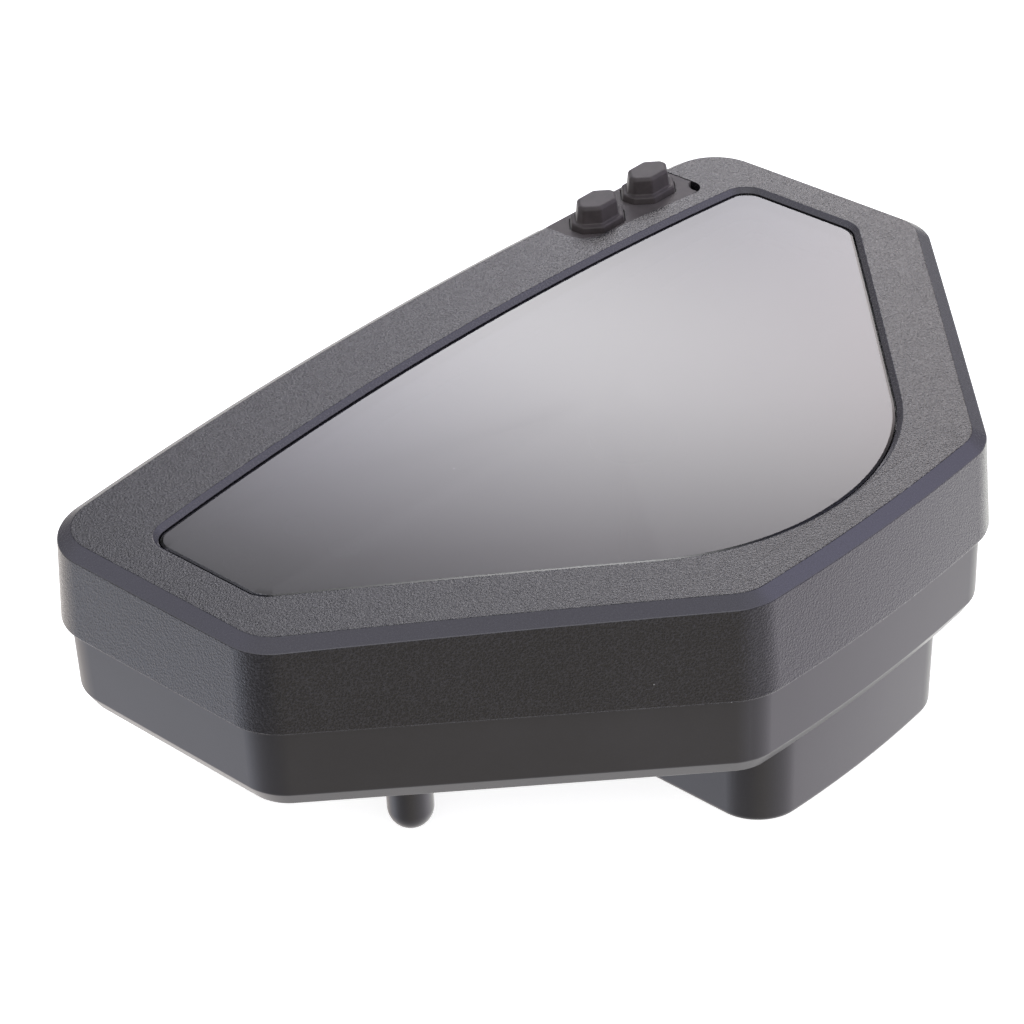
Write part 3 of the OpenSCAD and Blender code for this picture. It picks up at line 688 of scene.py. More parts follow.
def screw_tree():
    """Pan head with a hex socket in its lower side, and a plain shank upwards."""
    sizes = {"Head radius": 1, "Head height": 1, "Shank radius": 1, "Shank length": 1, "Socket radius": 1}
    made = CopiesTree("screw", sizes)
    tree = made.tree
    head = bar(tree, 40, made.size("Head radius"), made.size("Head height"))
    head = moved_part(tree, head, halved(tree, made.size("Head height"), -1))
    shank = bar(tree, 24, made.size("Shank radius"), made.size("Shank length"))
    shank = moved_part(tree, shank, halved(tree, made.size("Shank length")))
    socket = bar(tree, 6, made.size("Socket radius"), made.size("Head height"))
    drop = add(tree, "ShaderNodeMath", {"operation": "MULTIPLY", 1: -1.1}, {0: made.size("Head height")})
    links = {"Mesh 1": head, "Mesh 2": moved_part(tree, socket, drop.outputs[0])}
    cut = add(tree, "GeometryNodeMeshBoolean", {"operation": "DIFFERENCE"}, links).outputs[0]
    whole = add(tree, "GeometryNodeJoinGeometry", None, {0: cut})
    tree.links.new(shank, whole.inputs[0])
    made.close(whole.outputs[0])
    return made


def post_tree():
    """A round pin, can or leg of one radius, that stands on each point."""
    made = CopiesTree("round post", {"Radius": 1, "Height": 1})
    tree = made.tree
    shape = bar(tree, 24, made.size("Radius"), made.size("Height"))
    made.close(moved_part(tree, shape, halved(tree, made.size("Height"))))
    return made


def tick_tree():
    """Flat bars that point at the dial's centre."""
    made = CopiesTree("dial tick", {"Length": 1, "Width": 1, "Thickness": 1, "Centre y": 0})
    tree = made.tree
    links = {"X": made.size("Length"), "Y": made.size("Width"), "Z": made.size("Thickness")}
    size = add(tree, "ShaderNodeCombineXYZ", None, links)
    shape = add(tree, "GeometryNodeMeshCube", None, {"Size": size.outputs[0]}).outputs[0]
    shape = moved_part(tree, shape, halved(tree, made.size("Thickness")))
    centre = add(tree, "ShaderNodeCombineXYZ", None, {"Y": made.size("Centre y")}).outputs[0]
    where = add(tree, "GeometryNodeInputPosition").outputs[0]
    out = add(tree, "ShaderNodeVectorMath", {"operation": "SUBTRACT"}, {0: where, 1: centre}).outputs[0]
    flat = add(tree, "ShaderNodeVectorMath", {"operation": "MULTIPLY", 1: (1, 1, 0)}, {0: out}).outputs[0]
    axes = {"axis": "X", "pivot_axis": "Z"}
    turn = add(tree, "FunctionNodeAlignEulerToVector", axes, {"Vector": flat}).outputs[0]
    made.close(shape, turn)
    return made


# ---------------------------------------------------------------- pieces


def sizes():
    return bpy.context.scene.cluster_sizes


def finishes():
    return bpy.context.scene.cluster_finishes


def shape():
    return Shape(sizes())


def key_spots(s):
    """Centres of the two keys, from their CAD boxes."""
    spots = []
    for name in ("select_key", "reset_key"):
        low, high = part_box(name)
        spots.append(((low.x + high.x) / 2 / MM, (low.y + high.y) / 2 / MM))
    return spots


def pad_outline(s, t):
    """Outline of the pad recess moved inwards by t: open at the back, with a slanted front."""
    (x0, y0), (x1, _) = key_spots(s)
    left, right, front = x0 - 12.5 + t, x1 + 10.8 - t, y0 - 7.3 + t
    slant, back = 2.8, s.crown_y + 14
    r, q = 6 - t, 4 - t
    points = arc_points((left + r, front + r), r, math.pi, math.pi / 2, 12)
    points += arc_points((right - q, front + q - slant), q, 1.5 * math.pi, math.pi / 2, 10)
    return points + [(right, back), (left, back)]


def build_bezel(s):
    z = sizes()
    low, lens_z = s.part_z, s.top_z - z.bevel_down
    lip_z = node_z("lens_gasket")[1] + 0.06
    plate_z = s.top_z - 3
    soft = z.edge_soft
    # Outer wall, chamfer and face, as (inset, height) from the case outline
    outer = rounded_section(
        [
            (0.5 - z.lean, low + 0.05),
            (0.02 - z.lean, low + 0.5),
            (0, s.top_z - z.edge_down),
            (z.edge_in, s.top_z),
            (z.edge_in + 6, s.top_z),
        ],
        [0, 0.6, 0.45, soft, 0],
    )
    # Window edge, bevel and lip, as (inset, height) from the window outline
    inner = rounded_section(
        [(-4, s.top_z), (0, s.top_z), (z.bevel_in, lens_z), (z.bevel_in, lip_z)], [0, soft, 0.3, 0]
    )
    rings = []
    for t, h in outer:
        share = clamp((h - low) / (s.top_z - z.edge_down - 2 - low), 0, 1)
        rings.append(s.crowned(s.case.ring(t), h, share))
    for t, h in inner[1:]:
        rings.append(s.crowned(s.window.ring(t), h))
    rings.append(s.crowned(s.window.ring(-3.4), lip_z))
    rings.append(s.crowned(s.window.ring(-4.2), plate_z))
    rings.append(s.crowned(s.case.ring(z.wall), plate_z))
    rings.append(s.crowned(s.case.ring(z.wall), low + 0.05, 0))
    piece = ring_piece("bezel_shell", rings)

    tray_z = node_z("button_pad")[0]
    keys = key_spots(s)
    board_top = node_z("key_board")[1]
    added = [slab_piece("tray", pad_outline(s, -1.2), tray_z - 2, tray_z + 2)]
    combine(added[0], [slab_piece("tray limit", s.case.ring(0.6), tray_z - 3, tray_z + 3)], "INTERSECT")
    for x, y in s.boss_spots:
        added.append(lathe_piece("boss", (x, y), [(4, low), (4, s.top_z - 1.5 - x * x / 2 / s.crown_r)]))
    screw_x = [keys[0][0] - 7.4, keys[1][0] + 7.2]
    for x in screw_x:
        added.append(lathe_piece("boss", (x, keys[0][1]), [(2.3, board_top), (2.3, tray_z - 1)]))
    combine(piece, added, "UNION")
    cuts = [slab_piece("recess", pad_outline(s, 0), tray_z, s.top_z + 20)]
    for x, y in keys:
        cuts.append(lathe_piece("stem hole", (x, y), [(2.8, tray_z - 5), (2.8, tray_z + 1)]))
    for x, y in s.boss_spots:
        cuts.append(lathe_piece("bore", (x, y), [(1.52, low - 1), (1.52, low + 14)]))
    for x in screw_x:
        cuts.append(lathe_piece("bore", (x, keys[0][1]), [(1.02, board_top - 1), (1.02, board_top + 5)]))
    combine(piece, cuts, "DIFFERENCE")
    return smooth(soften(piece, 0.25, 2))


def build_lens(s):
    z = sizes()
    top = s.top_z - z.bevel_down
    flange = node_z("lens_gasket")[1] - 0.44
    under = flange - 2
    rim = z.bevel_in + 0.2
    # The edge eases down over a shallow slope, as a moulded rim does
    edge = [(rim + 5, top), (rim + 0.8, top), (rim + 0.15, top - 0.15), (rim, flange)]
    section = rounded_section(edge, [0, 0.4, 0.12, 0], 6)
    rings = []
    centre = (0, 5)
    for share in (0.04, 0.15, 0.3, 0.45, 0.6, 0.72, 0.82, 0.9):
        rings.append(s.crowned(shrunk(s.window.ring(rim + 3), centre, share), top))
    rings.append(s.crowned(s.window.ring(rim + 3), top))
    for t, h in section[1:]:
        rings.append(s.crowned(s.window.ring(t), h))
    for t, h in ((-2.5, flange), (-2.8, flange - 0.3), (-2.8, under + 0.3), (-2.5, under), (rim + 3, under)):
        rings.append(s.crowned(s.window.ring(t), h))
    for share in (0.9, 0.72, 0.45, 0.15, 0.04):
        rings.append(s.crowned(shrunk(s.window.ring(rim + 3), centre, share), under))
    return smooth(stack_piece("smoked_lens", list(reversed(rings))), 40)


def build_surround(s):
    low, high = node_z("dial_surround")
    rings = [
        s.crowned(s.window.ring(0.7), low, 0),
        s.crowned(s.window.ring(-1.0), low, 0),
        s.crowned(s.window.ring(-1.0), high, 1),
        s.crowned(s.window.ring(0.4), high, 1),
    ]
    return smooth(ring_piece("inner_surround", rings))


def build_dial(s):
    low, high = node_z("dial_plate")
    piece = slab_piece("dial_face", s.window.ring(-1.5), low, high)
    glass_low, glass_high = node_box("display_frame")
    at = plan_centre(glass_low, glass_high)
    size = (glass_high.x - glass_low.x - 7.4, glass_high.y - glass_low.y - 7.4)
    cuts = [slab_piece("display opening", box_points(at, size[0], size[1], 1.5), low - 1, high + 1)]
    for x, y in lamp_spots():
        cuts.append(lathe_piece("lamp hole", (x, y), [(3.65, low - 1), (3.65, high + 1)]))
    cuts.append(lathe_piece("shaft hole", (0, s.dial_y), [(3, low - 1), (3, high + 1)]))
    return smooth(combine(piece, cuts, "DIFFERENCE"))


def lamp_spots():
    """Centres of the indicator lamps, from the box of their lenses."""
    low, high = node_box("indicator_lenses")
    r = 3.48
    return [(x, y) for x in (low.x + r, high.x - r) for y in (low.y + r, high.y - r)]


def dial_angle(share):
    return math.radians(ZERO_ANGLE - SWEEP * share)


def build_print(s, ink):
    """Scale bars and numerals, a tenth of a millimetre proud of the dial."""
    top = node_z("dial_plate")[1]
    tree = tick_tree()
    pieces = []
    # Each scale's name, number of bars, middle radius, length and width
    scales = (("scale_long", NUMERALS, 50, 6, 1.1), ("scale_short", 61, 51.5, 3, 0.5))
    for name, count, mid, length, width in scales:
        spots = []
        for k in range(count):
            if name == "scale_short" and k % 5 == 0:
                continue
            a = dial_angle(k / (count - 1))
            spots.append((mid * math.cos(a), s.dial_y + mid * math.sin(a), top))
        values = {"Length": length * MM, "Width": width * MM, "Thickness": 0.1 * MM}
        values["Centre y"] = s.dial_y * MM
        pieces.append(tree.grow(name, spots, ink, values))
    for k in range(NUMERALS):
        curve = bpy.data.curves.new(f"numeral_{k}", "FONT")
        curve.body = str(k)
        curve.size = 7.5 * MM
        curve.extrude = 0.05 * MM
        curve.align_x = curve.align_y = "CENTER"
        curve.resolution_u = 4
        text = bpy.data.objects.new(f"numeral_{k}", curve)
        bpy.context.scene.collection.objects.link(text)
        bpy.context.view_layer.update()
        mesh = bpy.data.meshes.new_from_object(text.evaluated_get(bpy.context.evaluated_depsgraph_get()))
        a = dial_angle(k / (NUMERALS - 1))
        r = 40.5
        at = Vector((r * math.cos(a), s.dial_y + r * math.sin(a), top + 0.05)) * MM
        mesh.transform(Matrix.Translation(at))
        bpy.data.objects.remove(text)
        number = bpy.data.objects.new(f"numeral_{k}", mesh)
        bpy.context.scene.collection.objects.link(number)
        pieces.append(number)
    return join_pieces("dial_print", pieces)


def join_pieces(name, pieces):
    """One object from several meshes."""
    bm = bmesh.new()
    for piece in pieces:
        bm.from_mesh(piece.data)
    mesh = bpy.data.meshes.new(name)
    bm.to_mesh(mesh)
    bm.free()
    for piece in pieces:
        bpy.data.objects.remove(piece)
    joined = bpy.data.objects.new(name, mesh)
    bpy.context.scene.collection.objects.link(joined)
    return joined


def build_pointer(s):
    """Tapered pointer with a ridge along its middle, and its counterweight tail."""
    low = node_z("pointer")[0] + 1
    high = node_z("pointer")[1]
    reach, tail = 47, 11
    a = math.radians(ZERO_ANGLE)
    along, across = Vector((math.cos(a), math.sin(a))), Vector((-math.sin(a), math.cos(a)))
    centre = Vector((0, s.dial_y))
    rings = []
    # Distance from the hub, width and ridge height, from the tail to the tip
    stations = [(-tail, 3.6, high - 0.2), (-tail + 0.6, 4.2, high), (0, 4.4, high)]
    stations += [(reach - 1, 1.2, high - 0.3), (reach, 0.8, high - 0.6)]
    for d, w, h in stations:
        section = [(-w / 2, low), (w / 2, low), (w / 2, h - 0.5)]
        section += [(0.15 * w, h), (-0.15 * w, h), (-w / 2, h - 0.5)]
        rings.append([(*(centre + along * d + across * u), v) for u, v in section])
    piece = stack_piece("pointer_blade", rings)
    hub = lathe_piece("hub", tuple(centre), [(2.5, low - 1), (2.5, low), (4, low), (4, high)])
    combine(piece, [hub], "UNION")
    bore = lathe_piece("bore", tuple(centre), [(0.77, low - 2), (0.77, low)])
    return smooth(combine(piece, [bore], "DIFFERENCE"))


def build_pointer_cap(s):
    low, high = node_z("pointer_cap")
    r = 10
    section = rounded_section([(r, low), (r, high), (0, high)], [0, 0.8, 0], 8)
    dome = [(t, h - 0.25 * (t / r) ** 2 if t < r - 1 else h) for t, h in section]
    return smooth(lathe_piece("pointer_hub_cap", (0, s.dial_y), [(0, low)] + dome, 96))


def octagon_ring(centre, w, d, cut, r, z):
    """An eight-sided ring with each corner rounded by r."""
    x, y = w / 2, d / 2
    corners = [(x, cut - y), (x, y - cut), (x - cut, y), (cut - x, y)]
    corners += [(-px, -py) for px, py in corners]
    points = []
    for k in range(8):
        points += fillet(corners[k - 1], corners[k], corners[(k + 1) % 8], r, 5)
    return [(centre[0] + px, centre[1] + py, z) for px, py in points]


def build_key(s, node):
    """Silicone key: eight-sided collar, tapered upper step with soft edges, and a stem."""
    low, high = node_box(node)
    at = plan_centre(low, high)
    pad_top = node_z("button_pad")[1]
    collar_low, collar_top = pad_top - 0.9, pad_top + 1.6
    w, d = high.x - low.x, high.y - low.y
    rings = []

    def level(inset, z, soft=1.2):
        rings.append(octagon_ring(at, w - 2 * inset, d - 2 * inset, 3.7 - 0.4 * inset, soft, z))

    level(0, collar_low)
    for t, h in fillet((0.1, collar_low), (0.25, collar_top), (3, collar_top), 0.55, 5):
        level(t, h)
    # A fillet leads from the collar into the upper step, which leans in and ends in a soft edge
    for t, h in fillet((0.2, collar_top), (1.3, collar_top), (1.7, high.z), 0.5, 4):
        level(t, h)
    for t, h in fillet((1.3, collar_top), (1.7, high.z), (5, high.z), 1.0, 7):
        level(t, h)
    level(3.0, high.z)
    piece = stack_piece(node + "_rubber", rings)
    stem = lathe_piece("stem", at, [(2.5, low.z), (2.5, collar_low + 0.5)])
    return smooth(combine(piece, [stem], "UNION"), 50)


def build_pad(s):
    low, high = node_z("button_pad")
    piece = slab_piece("key_pad", pad_outline(s, 0.3), low, high)
    combine(piece, [slab_piece("limit", s.case.ring(0.8), low - 1, high + 1)], "INTERSECT")
    keys = key_spots(s)
    key_low, key_high = node_box("select_key")
    w, d = key_high.x - key_low.x + 0.3, key_high.y - key_low.y + 0.3
    cuts = []
    for at in keys:
        rings = [octagon_ring(at, w, d, 3.8, 1.2, z) for z in (low - 1, high + 1)]
        cuts.append(stack_piece("key hole", rings))
    notch = (keys[1][0] + 10.8, keys[1][1] - 8.6)
    cuts.append(lathe_piece("corner notch", notch, [(3.4, low - 1), (3.4, high + 1)]))
    combine(piece, cuts, "DIFFERENCE")
    return smooth(soften(piece, 0.35, 3), 50)


def drum_ring(s, t, z):
    """Outline of the drum under the chin, moved inwards by t, with its bowed front."""
    w, front, r = 33.25 - t, s.chin_y - 2 + 6.7 + t, 10 - t / 2
    back = front + 46 - 2 * t
    points = []
    corners = ((w - r, front + r), (w - r, back - r), (r - w, back - r), (r - w, front + r))
    for k, corner in enumerate(corners):
        points += arc_points(corner, r, math.radians(90 * k - 90), math.pi / 2, 16)
    points += between(points[-1], points[0], 20)
    middle = (front + back) / 2
    return [(x, y - (2 * max(0, 1 - (x / w) ** 2) if y < middle else 0), z) for x, y in points]


def drum_solid(s, t, top):
    """The drum under the chin, moved inwards by t, with a rounded foot."""
    rings = []
    for u, h in fillet((t + 8, t), (t, t), (t - 0.6, top), 1.8, 6):
        rings.append(drum_ring(s, u, h))
    rings.append(drum_ring(s, t - 0.6, top))
    return stack_piece("drum", rings)


def build_housing(s):
    top, low = s.part_z, s.foot_z
    floor = low + 2.5
    outer = rounded_section(
        [(1.2, top), (0.8, top - 0.4), (1.0, low + 4.2), (3.5, low), (9, low)], [0, 0, 1.0, 1.0, 0]
    )
    piece = stack_piece("rear_shell", [s.crowned(s.case.ring(t), h, 0) for t, h in reversed(outer)])
    inner = [(5.7, floor), (3.2, floor + 4.2), (3.0, top + 0.05)]
    combine(piece, [stack_piece("hollow", [s.crowned(s.case.ring(t), h, 0) for t, h in inner])], "DIFFERENCE")
    bosses = [lathe_piece("boss", spot, [(5, low), (5, top)]) for spot in s.boss_spots]
    for boss in bosses:
        skin = ((3.5, low), (1.0, low + 4.2), (0.8, top))
        limit = stack_piece("limit", [s.crowned(s.case.ring(t + 0.2), h, 0) for t, h in skin])
        combine(boss, [limit], "INTERSECT")
    board_z = node_z("circuit_board")[0]
    added = bosses + [drum_solid(s, 0, floor - 0.6)]
    for x, y in BOARD_POSTS:
        added.append(lathe_piece("board post", (x, y), [(3.25, floor - 1), (3.25, board_z)]))
    for side in (-1, 1):
        added.append(lathe_piece("peg", (side * PEG[0], PEG[1]), peg_section(low), 64))
        stud = rounded_section([(0, 7), (6.3, 7), (6.3, low + 0.5)], [0, 0.6, 0])
        added.append(lathe_piece("stud", (side * STUD[0], STUD[1]), stud, 64))
    post = (0, s.crown_y - 17)
    section = rounded_section([(0, 0), (7, 0), (7, low + 0.5)], [0, 0.5, 0])
    added.append(lathe_piece("post", post, section, 64))
    header_low, header_high = node_box("connector_header")
    at = plan_centre(header_low, header_high)
    size = (header_high.x - header_low.x - 6, header_high.y - header_low.y - 6)
    added.append(slab_piece("socket rim", box_points(at, size[0] + 8, size[1] + 8, 2), low - 2, low + 1))
    vent_low, vent_high = node_box("breather_vent")
    vent = plan_centre(vent_low, vent_high)
    section = rounded_section([(0, low - 3), (6.5, low - 3), (6.5, low + 2)], [0, 0.5, 0])
    added.append(lathe_piece("vent rim", vent, section, 64))
    combine(piece, added, "UNION")
    cuts = [drum_solid(s, 2.4, floor - 0.6 + 1.44)]
    for spot in s.boss_spots:
        cuts.append(lathe_piece("bore", spot, [(1.7, 5), (1.7, top + 5)]))
        cuts.append(lathe_piece("head bore", spot, [(3.7, low - 1), (3.7, top - 9)]))
    for spot in BOARD_POSTS:
        cuts.append(lathe_piece("bore", spot, [(1.27, board_z - 9), (1.27, board_z + 1)]))
    cuts.append(lathe_piece("post bore", post, [(2.5, -1), (2.5, 16)]))
    for side in (-1, 1):
        cuts.append(lathe_piece("stud bore", (side * STUD[0], STUD[1]), [(1.7, 5), (1.7, 19)]))
    cuts.append(slab_piece("socket cut", box_points(at, size[0] + 0.4, size[1] + 0.4), low - 5, low + 7))
    cuts.append(slab_piece("gasket seat", box_points(at, size[0] + 5.4, size[1] + 5.4), floor - 1, floor + 2))
    cuts.append(lathe_piece("vent hole", vent, [(2, low - 4), (2, low + 6)]))
    cuts.append(lathe_piece("vent seat", vent, [(4.52, low - 4), (4.52, low - 1)]))
    cuts.append(groove_solid(s))
    combine(piece, cuts, "DIFFERENCE")
    return smooth(piece)


def groove_solid(s):
    """The groove that the seal lies in, round the housing's top edge."""
    low, high = s.part_z - 1, s.part_z + 1
    section = ((1.3, low), (1.3, high), (2.4, high), (2.4, low))
    return ring_piece("groove", [s.crowned(s.case.ring(t), h, 0) for t, h in section])


def peg_section(low):
    """A round-nosed peg."""
    r = 5.2
    nose = [(r * math.sin(math.radians(a)), r - r * math.cos(math.radians(a))) for a in range(0, 91, 9)]
    return nose + [(r, low + 0.5)]


# ---------------------------------------------------------------- operators


class ClusterOperator:
    """What every operator here shares."""

    bl_options = {"REGISTER", "UNDO"}


class CLUSTER_OT_bezel(ClusterOperator, bpy.types.Operator):
    """Build the grained front bezel with its window and key recess"""

    bl_idname = "cluster.bezel"
    bl_label = "Front bezel"

    def execute(self, context):
        f = finishes()
        # Spark grain is finer than this on a real case; it is drawn coarse enough to show
        # Its chamfers get a lighter, bluer colour as painted reflection
        material = grained_abs("grained ABS", f.bezel, f.bezel_edge, f.grain_mm, 0.17, 0.3, 0.6)
        finish_piece(build_bezel(shape()), material, "bezel_plastic", STAND, "front_bezel")
        return {"FINISHED"}


class CLUSTER_OT_housing(ClusterOperator, bpy.types.Operator):
    """Build the satin rear housing with its drum, pegs, post and bosses"""

    bl_idname = "cluster.housing"
    bl_label = "Rear housing"

    def execute(self, context):
        f = finishes()
        # The satin texture is likewise drawn coarser than it is, and its leaning edges take a slightly
        # lighter colour as painted sheen
        material = grained_abs("satin ABS", f.housing, f.housing_edge, 0.5, 0.012, 0.38, 0.08)
        finish_piece(build_housing(shape()), material, "housing_plastic", STAND, "rear_housing")
        return {"FINISHED"}


class CLUSTER_OT_lens(ClusterOperator, bpy.types.Operator):
    """Build the smoked lens"""

    bl_idname = "cluster.lens"
    bl_label = "Lens"

    def execute(self, context):
        material = smoked_polycarbonate("smoked polycarbonate", finishes().lens)
        finish_piece(build_lens(shape()), material, "smoked_lens", STAND, "lens")
        return {"FINISHED"}


class CLUSTER_OT_keys(ClusterOperator, bpy.types.Operator):
    """Build the rubber pad and its two keys"""

    bl_idname = "cluster.keys"
    bl_label = "Keys and pad"

    def execute(self, context):
        rubber = soft_rubber("black silicone", finishes().rubber)
        s = shape()
        finish_piece(build_pad(s), rubber, "key_rubber", STAND, "button_pad")
        for node in ("select_key", "reset_key"):
            finish_piece(build_key(s, node), rubber, "key_rubber", node, node)
        return {"FINISHED"}


class CLUSTER_OT_dial(ClusterOperator, bpy.types.Operator):
    """Build the dial, its print, the surround and the pointer"""

    bl_idname = "cluster.dial"
    bl_label = "Dial and pointer"

    def execute(self, context):
        f = finishes()
        s = shape()
        # Printed sheet is flat and matte, and its ink lies a shade rougher on it
        ground = plain_moulding("screen-printed polycarbonate", f.dial, 0.55, 1.5, 12, 0.001)
        ink = plain_moulding("grey printing ink", f.print_ink, 0.5, 1.5, 0.8, 0.004)
        # Matte black round the dial keeps stray light down, and the pointer's gloss sets it off
        inner = plain_moulding("matte black ABS", "#161618", 0.6, 1.53, 2.0, 0.02)
        blade = plain_moulding("pointer ABS", "#8d2f25", 0.35, 1.5, 2.0)
        finish_piece(build_dial(s), ground, "dial_print", STAND, "dial_plate")
        finish_piece(build_print(s, ink), ink, "dial_print", STAND)
        finish_piece(build_surround(s), inner, "inner_plastic", STAND, "dial_surround")
        finish_piece(build_pointer(s), blade, "pointer_plastic", "pointer", "pointer")
        finish_piece(build_pointer_cap(s), inner, "inner_plastic", "pointer", "pointer_cap")
        return {"FINISHED"}


class CLUSTER_OT_fasteners(ClusterOperator, bpy.types.Operator):
    """Set the screws and the connector pins"""

    bl_idname = "cluster.fasteners"
    bl_label = "Screws and pins"

    def execute(self, context):
        s = shape()
        # Zinc plating gives a soft bluish metal shine, the contact plating a warm bright one
        zinc = plain_moulding("zinc-plated steel", "#b9bac0", 0.32, 1.5, 1.5, 0.01, 1.0)
        gold = plain_moulding("plated contact brass", "#d8b566", 0.25, 1.5, 1.0, 0.005, 1.0)
        screws = screw_tree()
        head_z = s.part_z - 9
        spots = [(x, y, head_z) for x, y in s.boss_spots]
        values = {
            "Head radius": 3.2 * MM,
            "Head height": 2.2 * MM,
            "Shank radius": 1.5 * MM,
            "Shank length": 21 * MM,
            "Socket radius": 1.3 * MM,
        }
        piece = smooth(screws.grow("case_screw_set", spots, zinc, values))
        finish_piece(piece, zinc, "steel", STAND, "case_screws")
        pin_low, pin_high = node_box("connector_pins")
        r = 0.45
        pins = [
            (pin_low.x + r + i * (pin_high.x - pin_low.x - 2 * r) / 9, y, pin_low.z)
            for i in range(10)
            for y in (pin_low.y + r, pin_high.y - r)
        ]
        values = {"Radius": r * MM, "Height": (pin_high.z - pin_low.z) * MM}
        piece = smooth(post_tree().grow("connector_pin_set", pins, gold, values))
        finish_piece(piece, gold, "contact_metal", STAND, "connector_pins")
        for node in ("board_screws", "key_board_screws", "motor_shaft"):
            paint(node, zinc)
        for node in ("motor_pins", "key_contacts"):
            paint(node, gold)
        return {"FINISHED"}


def paint(node, material):
    """Gives a CAD node its finish."""
    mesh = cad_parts[node].data
    mesh.materials.clear()
    mesh.materials.append(material)


class CLUSTER_OT_electronics(ClusterOperator, bpy.types.Operator):
    """Finish the boards, lamps, display and other hidden pieces"""

    bl_idname = "cluster.electronics"
    bl_label = "Electronics"

    def execute(self, context):
        # Moulded plastics differ in gloss: resin and nylon are dull, acrylic and glass are bright
        resin = plain_moulding("moulded resin", "#1c1c1e", 0.5, 1.55, 1.5)
        nylon = plain_moulding("glass-filled nylon", "#1f1f22", 0.48, 1.53, 1.0, 0.02)
        white = plain_moulding("white polycarbonate", "#d8d8d4", 0.4, 1.58, 3.0)
        acrylic = plain_moulding("frosted acrylic", "#c9cac8", 0.3, 1.49, 5.0)
        seal = soft_rubber("seal rubber", "#1d1d1e", 0.6)
        laminate = solder_mask("solder mask", "#1c5a34")
        finishes_by_node = {
            "circuit_board": laminate,
            "key_board": laminate,
            "processor": resin,
            "voltage_regulator": resin,
            "stepper_motor": nylon,
            "connector_header": nylon,
            "breather_vent": plain_moulding("vent polypropylene", "#3b3b3e", 0.55),
            "display_frame": plain_moulding("display frame ABS", "#19191b", 0.5, 1.53),
            "display_glass": plain_moulding("liquid crystal cell", "#3a3f3b", 0.12, 1.52, 10.0, 0.002),
            "display_backlight": acrylic,
            "light_guide": acrylic,
            "light_box": white,
            "board_lamps": white,
            "indicator_lenses": plain_moulding("smoked acrylic", "#262829", 0.15, 1.49, 3.0),
            "board_capacitors": plain_moulding("drawn aluminium", "#b5b5ba", 0.3, 1.5, 2.0, 0.01, 1.0),
            "key_ribbon": plain_moulding("polyester film", "#b6a986", 0.3, 1.6, 1.0),
            "lens_gasket": seal,
            "housing_seal": seal,
            "connector_gasket": soft_rubber("red silicone seal", "#7b3328", 0.5),
            "select_contact_pill": seal,
            "reset_contact_pill": seal,
        }
        for node, material in finishes_by_node.items():
            paint(node, material)
        return {"FINISHED"}


class CLUSTER_OT_stage(ClusterOperator, bpy.types.Operator):
    """Set the camera, the pale floor and the studio light"""

    bl_idname = "cluster.stage"
    bl_label = "Studio"

    def execute(self, context):
        scene = context.scene
        scene.view_settings.view_transform = "Standard"
        set_camera(scene)
        set_floor()
        set_lights(scene)
        return {"FINISHED"}


def set_camera(scene):
    data = bpy.data.cameras.new("camera")
    data.sensor_width = 36
    data.lens = CAMERA_LENS
    data.clip_start = 0.01
    data.clip_end = 20
    camera = bpy.data.objects.new("camera", data)
    right, up = Vector(CAMERA_RIGHT), Vector(CAMERA_UP)
    back = right.cross(up)
    turn = Matrix((right, up, back)).transposed().to_4x4()
    camera.matrix_world = Matrix.Translation(Vector(CAMERA_PLACE) * MM) @ turn
    scene.collection.objects.link(camera)
    scene.camera = camera


def set_floor():
    """A pale paper floor, wide enough to fill every view."""
    half = 3000
    corners = [(-half, -half, 0), (half, -half, 0), (half, half, 0), (-half, half, 0)]
    floor = new_piece("floor", corners, [(0, 1, 2, 3)])
    material, tree, surface, place = start_material("pale paper", Roughness=0.9)
    tone = noise(tree, place, 400)
    paper = ramp(tree, tone, 0.3, 0.7, linear("#f2f2f2"), linear("#f6f6f6"))
    tree.links.new(paper, surface.inputs["Base Color"])
    surface.inputs["Emission Color"].default_value = (1, 1, 1, 1)
    surface.inputs["Emission Strength"].default_value = FLOOR_GLOW
    floor.data.materials.append(material)
    floor.visible_glossy = False


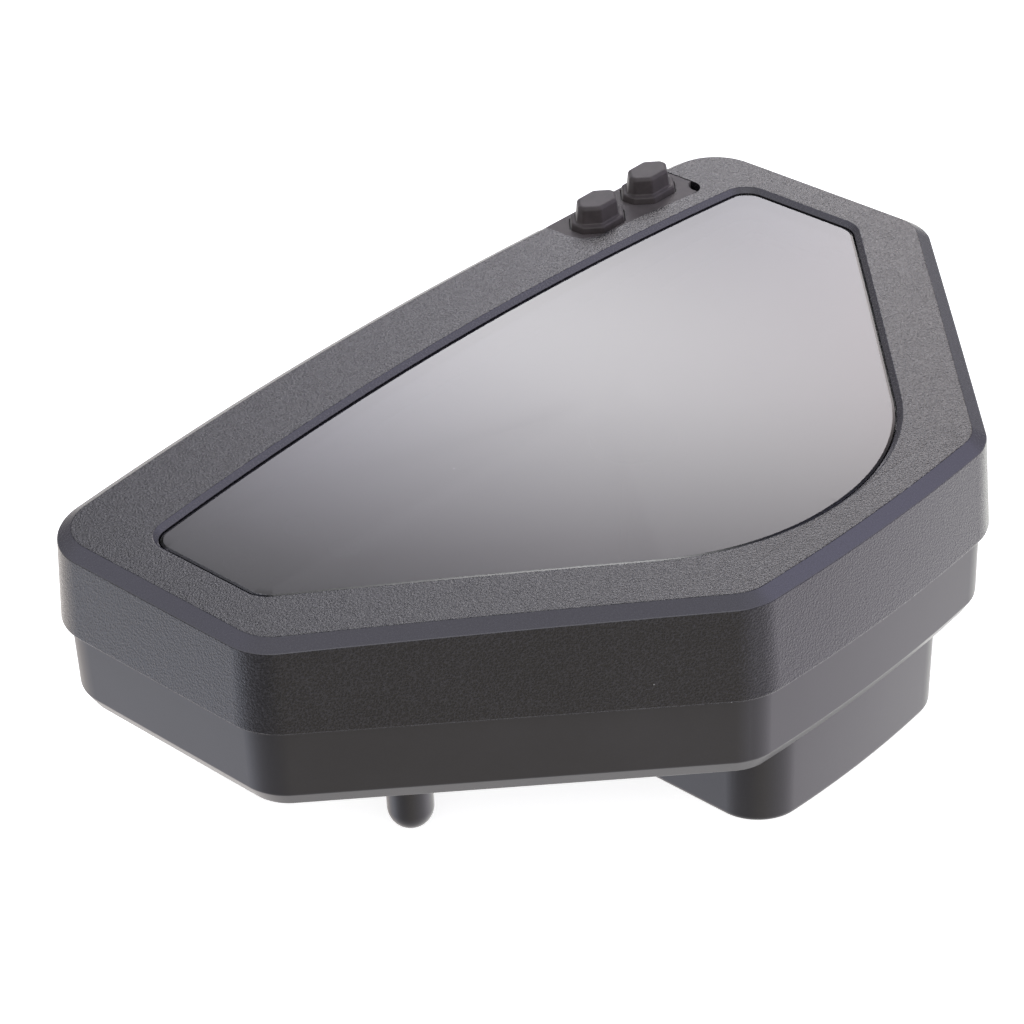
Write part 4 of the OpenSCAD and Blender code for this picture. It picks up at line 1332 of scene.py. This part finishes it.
def set_lights(scene):
    """A sky made of soft round lights, each of which fades smoothly from its middle."""
    world = bpy.data.worlds.new("studio")
    world.use_nodes = True
    tree = world.node_tree
    tree.nodes.clear()
    view = add(tree, "ShaderNodeTexCoord").outputs["Generated"]
    total = None
    for azimuth, elevation, width, colour in STUDIO_LIGHTS:
        a, e = math.radians(azimuth), math.radians(elevation)
        aim = (math.cos(e) * math.cos(a), math.cos(e) * math.sin(a), math.sin(e))
        facing = {"operation": "DOT_PRODUCT", 1: aim}
        near = add(tree, "ShaderNodeVectorMath", facing, {0: view}).outputs["Value"]
        sharp = 1 / math.radians(width) ** 2
        falloff = {"operation": "MULTIPLY_ADD", 1: sharp, 2: -sharp}
        power = add(tree, "ShaderNodeMath", falloff, {0: near}).outputs[0]
        glow = add(tree, "ShaderNodeMath", {"operation": "EXPONENT"}, {0: power}).outputs[0]
        scaled = {"operation": "SCALE", 0: colour}
        tinted = add(tree, "ShaderNodeVectorMath", scaled, {"Scale": glow}).outputs[0]
        if total:
            total = add(tree, "ShaderNodeVectorMath", {"operation": "ADD"}, {0: total, 1: tinted}).outputs[0]
        else:
            total = tinted
    light = add(tree, "ShaderNodeBackground", {"Strength": 1.0}, {"Color": total})
    out = add(tree, "ShaderNodeOutputWorld")
    tree.links.new(light.outputs[0], out.inputs[0])
    scene.world = world


class CLUSTER_PT_panel(bpy.types.Panel):
    """Lists the cluster's pieces in the sidebar"""

    bl_idname = "CLUSTER_PT_panel"
    bl_label = "Instrument cluster"
    bl_space_type = "VIEW_3D"
    bl_region_type = "UI"
    bl_category = "Cluster"

    def draw(self, context):
        for operator in OPERATORS:
            self.layout.operator(operator.bl_idname)
        for group in (context.scene.cluster_sizes, context.scene.cluster_finishes):
            for name in group.__annotations__:
                self.layout.prop(group, name)


OPERATORS = (
    CLUSTER_OT_stage,
    CLUSTER_OT_housing,
    CLUSTER_OT_bezel,
    CLUSTER_OT_lens,
    CLUSTER_OT_keys,
    CLUSTER_OT_dial,
    CLUSTER_OT_fasteners,
    CLUSTER_OT_electronics,
)
CLASSES = (CaseSizes, Finishes, CLUSTER_PT_panel) + OPERATORS


def register():
    for item in CLASSES:
        bpy.utils.register_class(item)
    bpy.types.Scene.cluster_sizes = bpy.props.PointerProperty(type=CaseSizes)
    bpy.types.Scene.cluster_finishes = bpy.props.PointerProperty(type=Finishes)


def unregister():
    del bpy.types.Scene.cluster_finishes
    del bpy.types.Scene.cluster_sizes
    for item in reversed(CLASSES):
        bpy.utils.unregister_class(item)


def main():
    register()
    bpy.ops.cluster.stage()
    bpy.ops.cluster.housing()
    bpy.ops.cluster.bezel()
    bpy.ops.cluster.lens()
    bpy.ops.cluster.keys()
    bpy.ops.cluster.dial()
    bpy.ops.cluster.fasteners()
    bpy.ops.cluster.electronics()


if __name__ == "__main__":
    main()
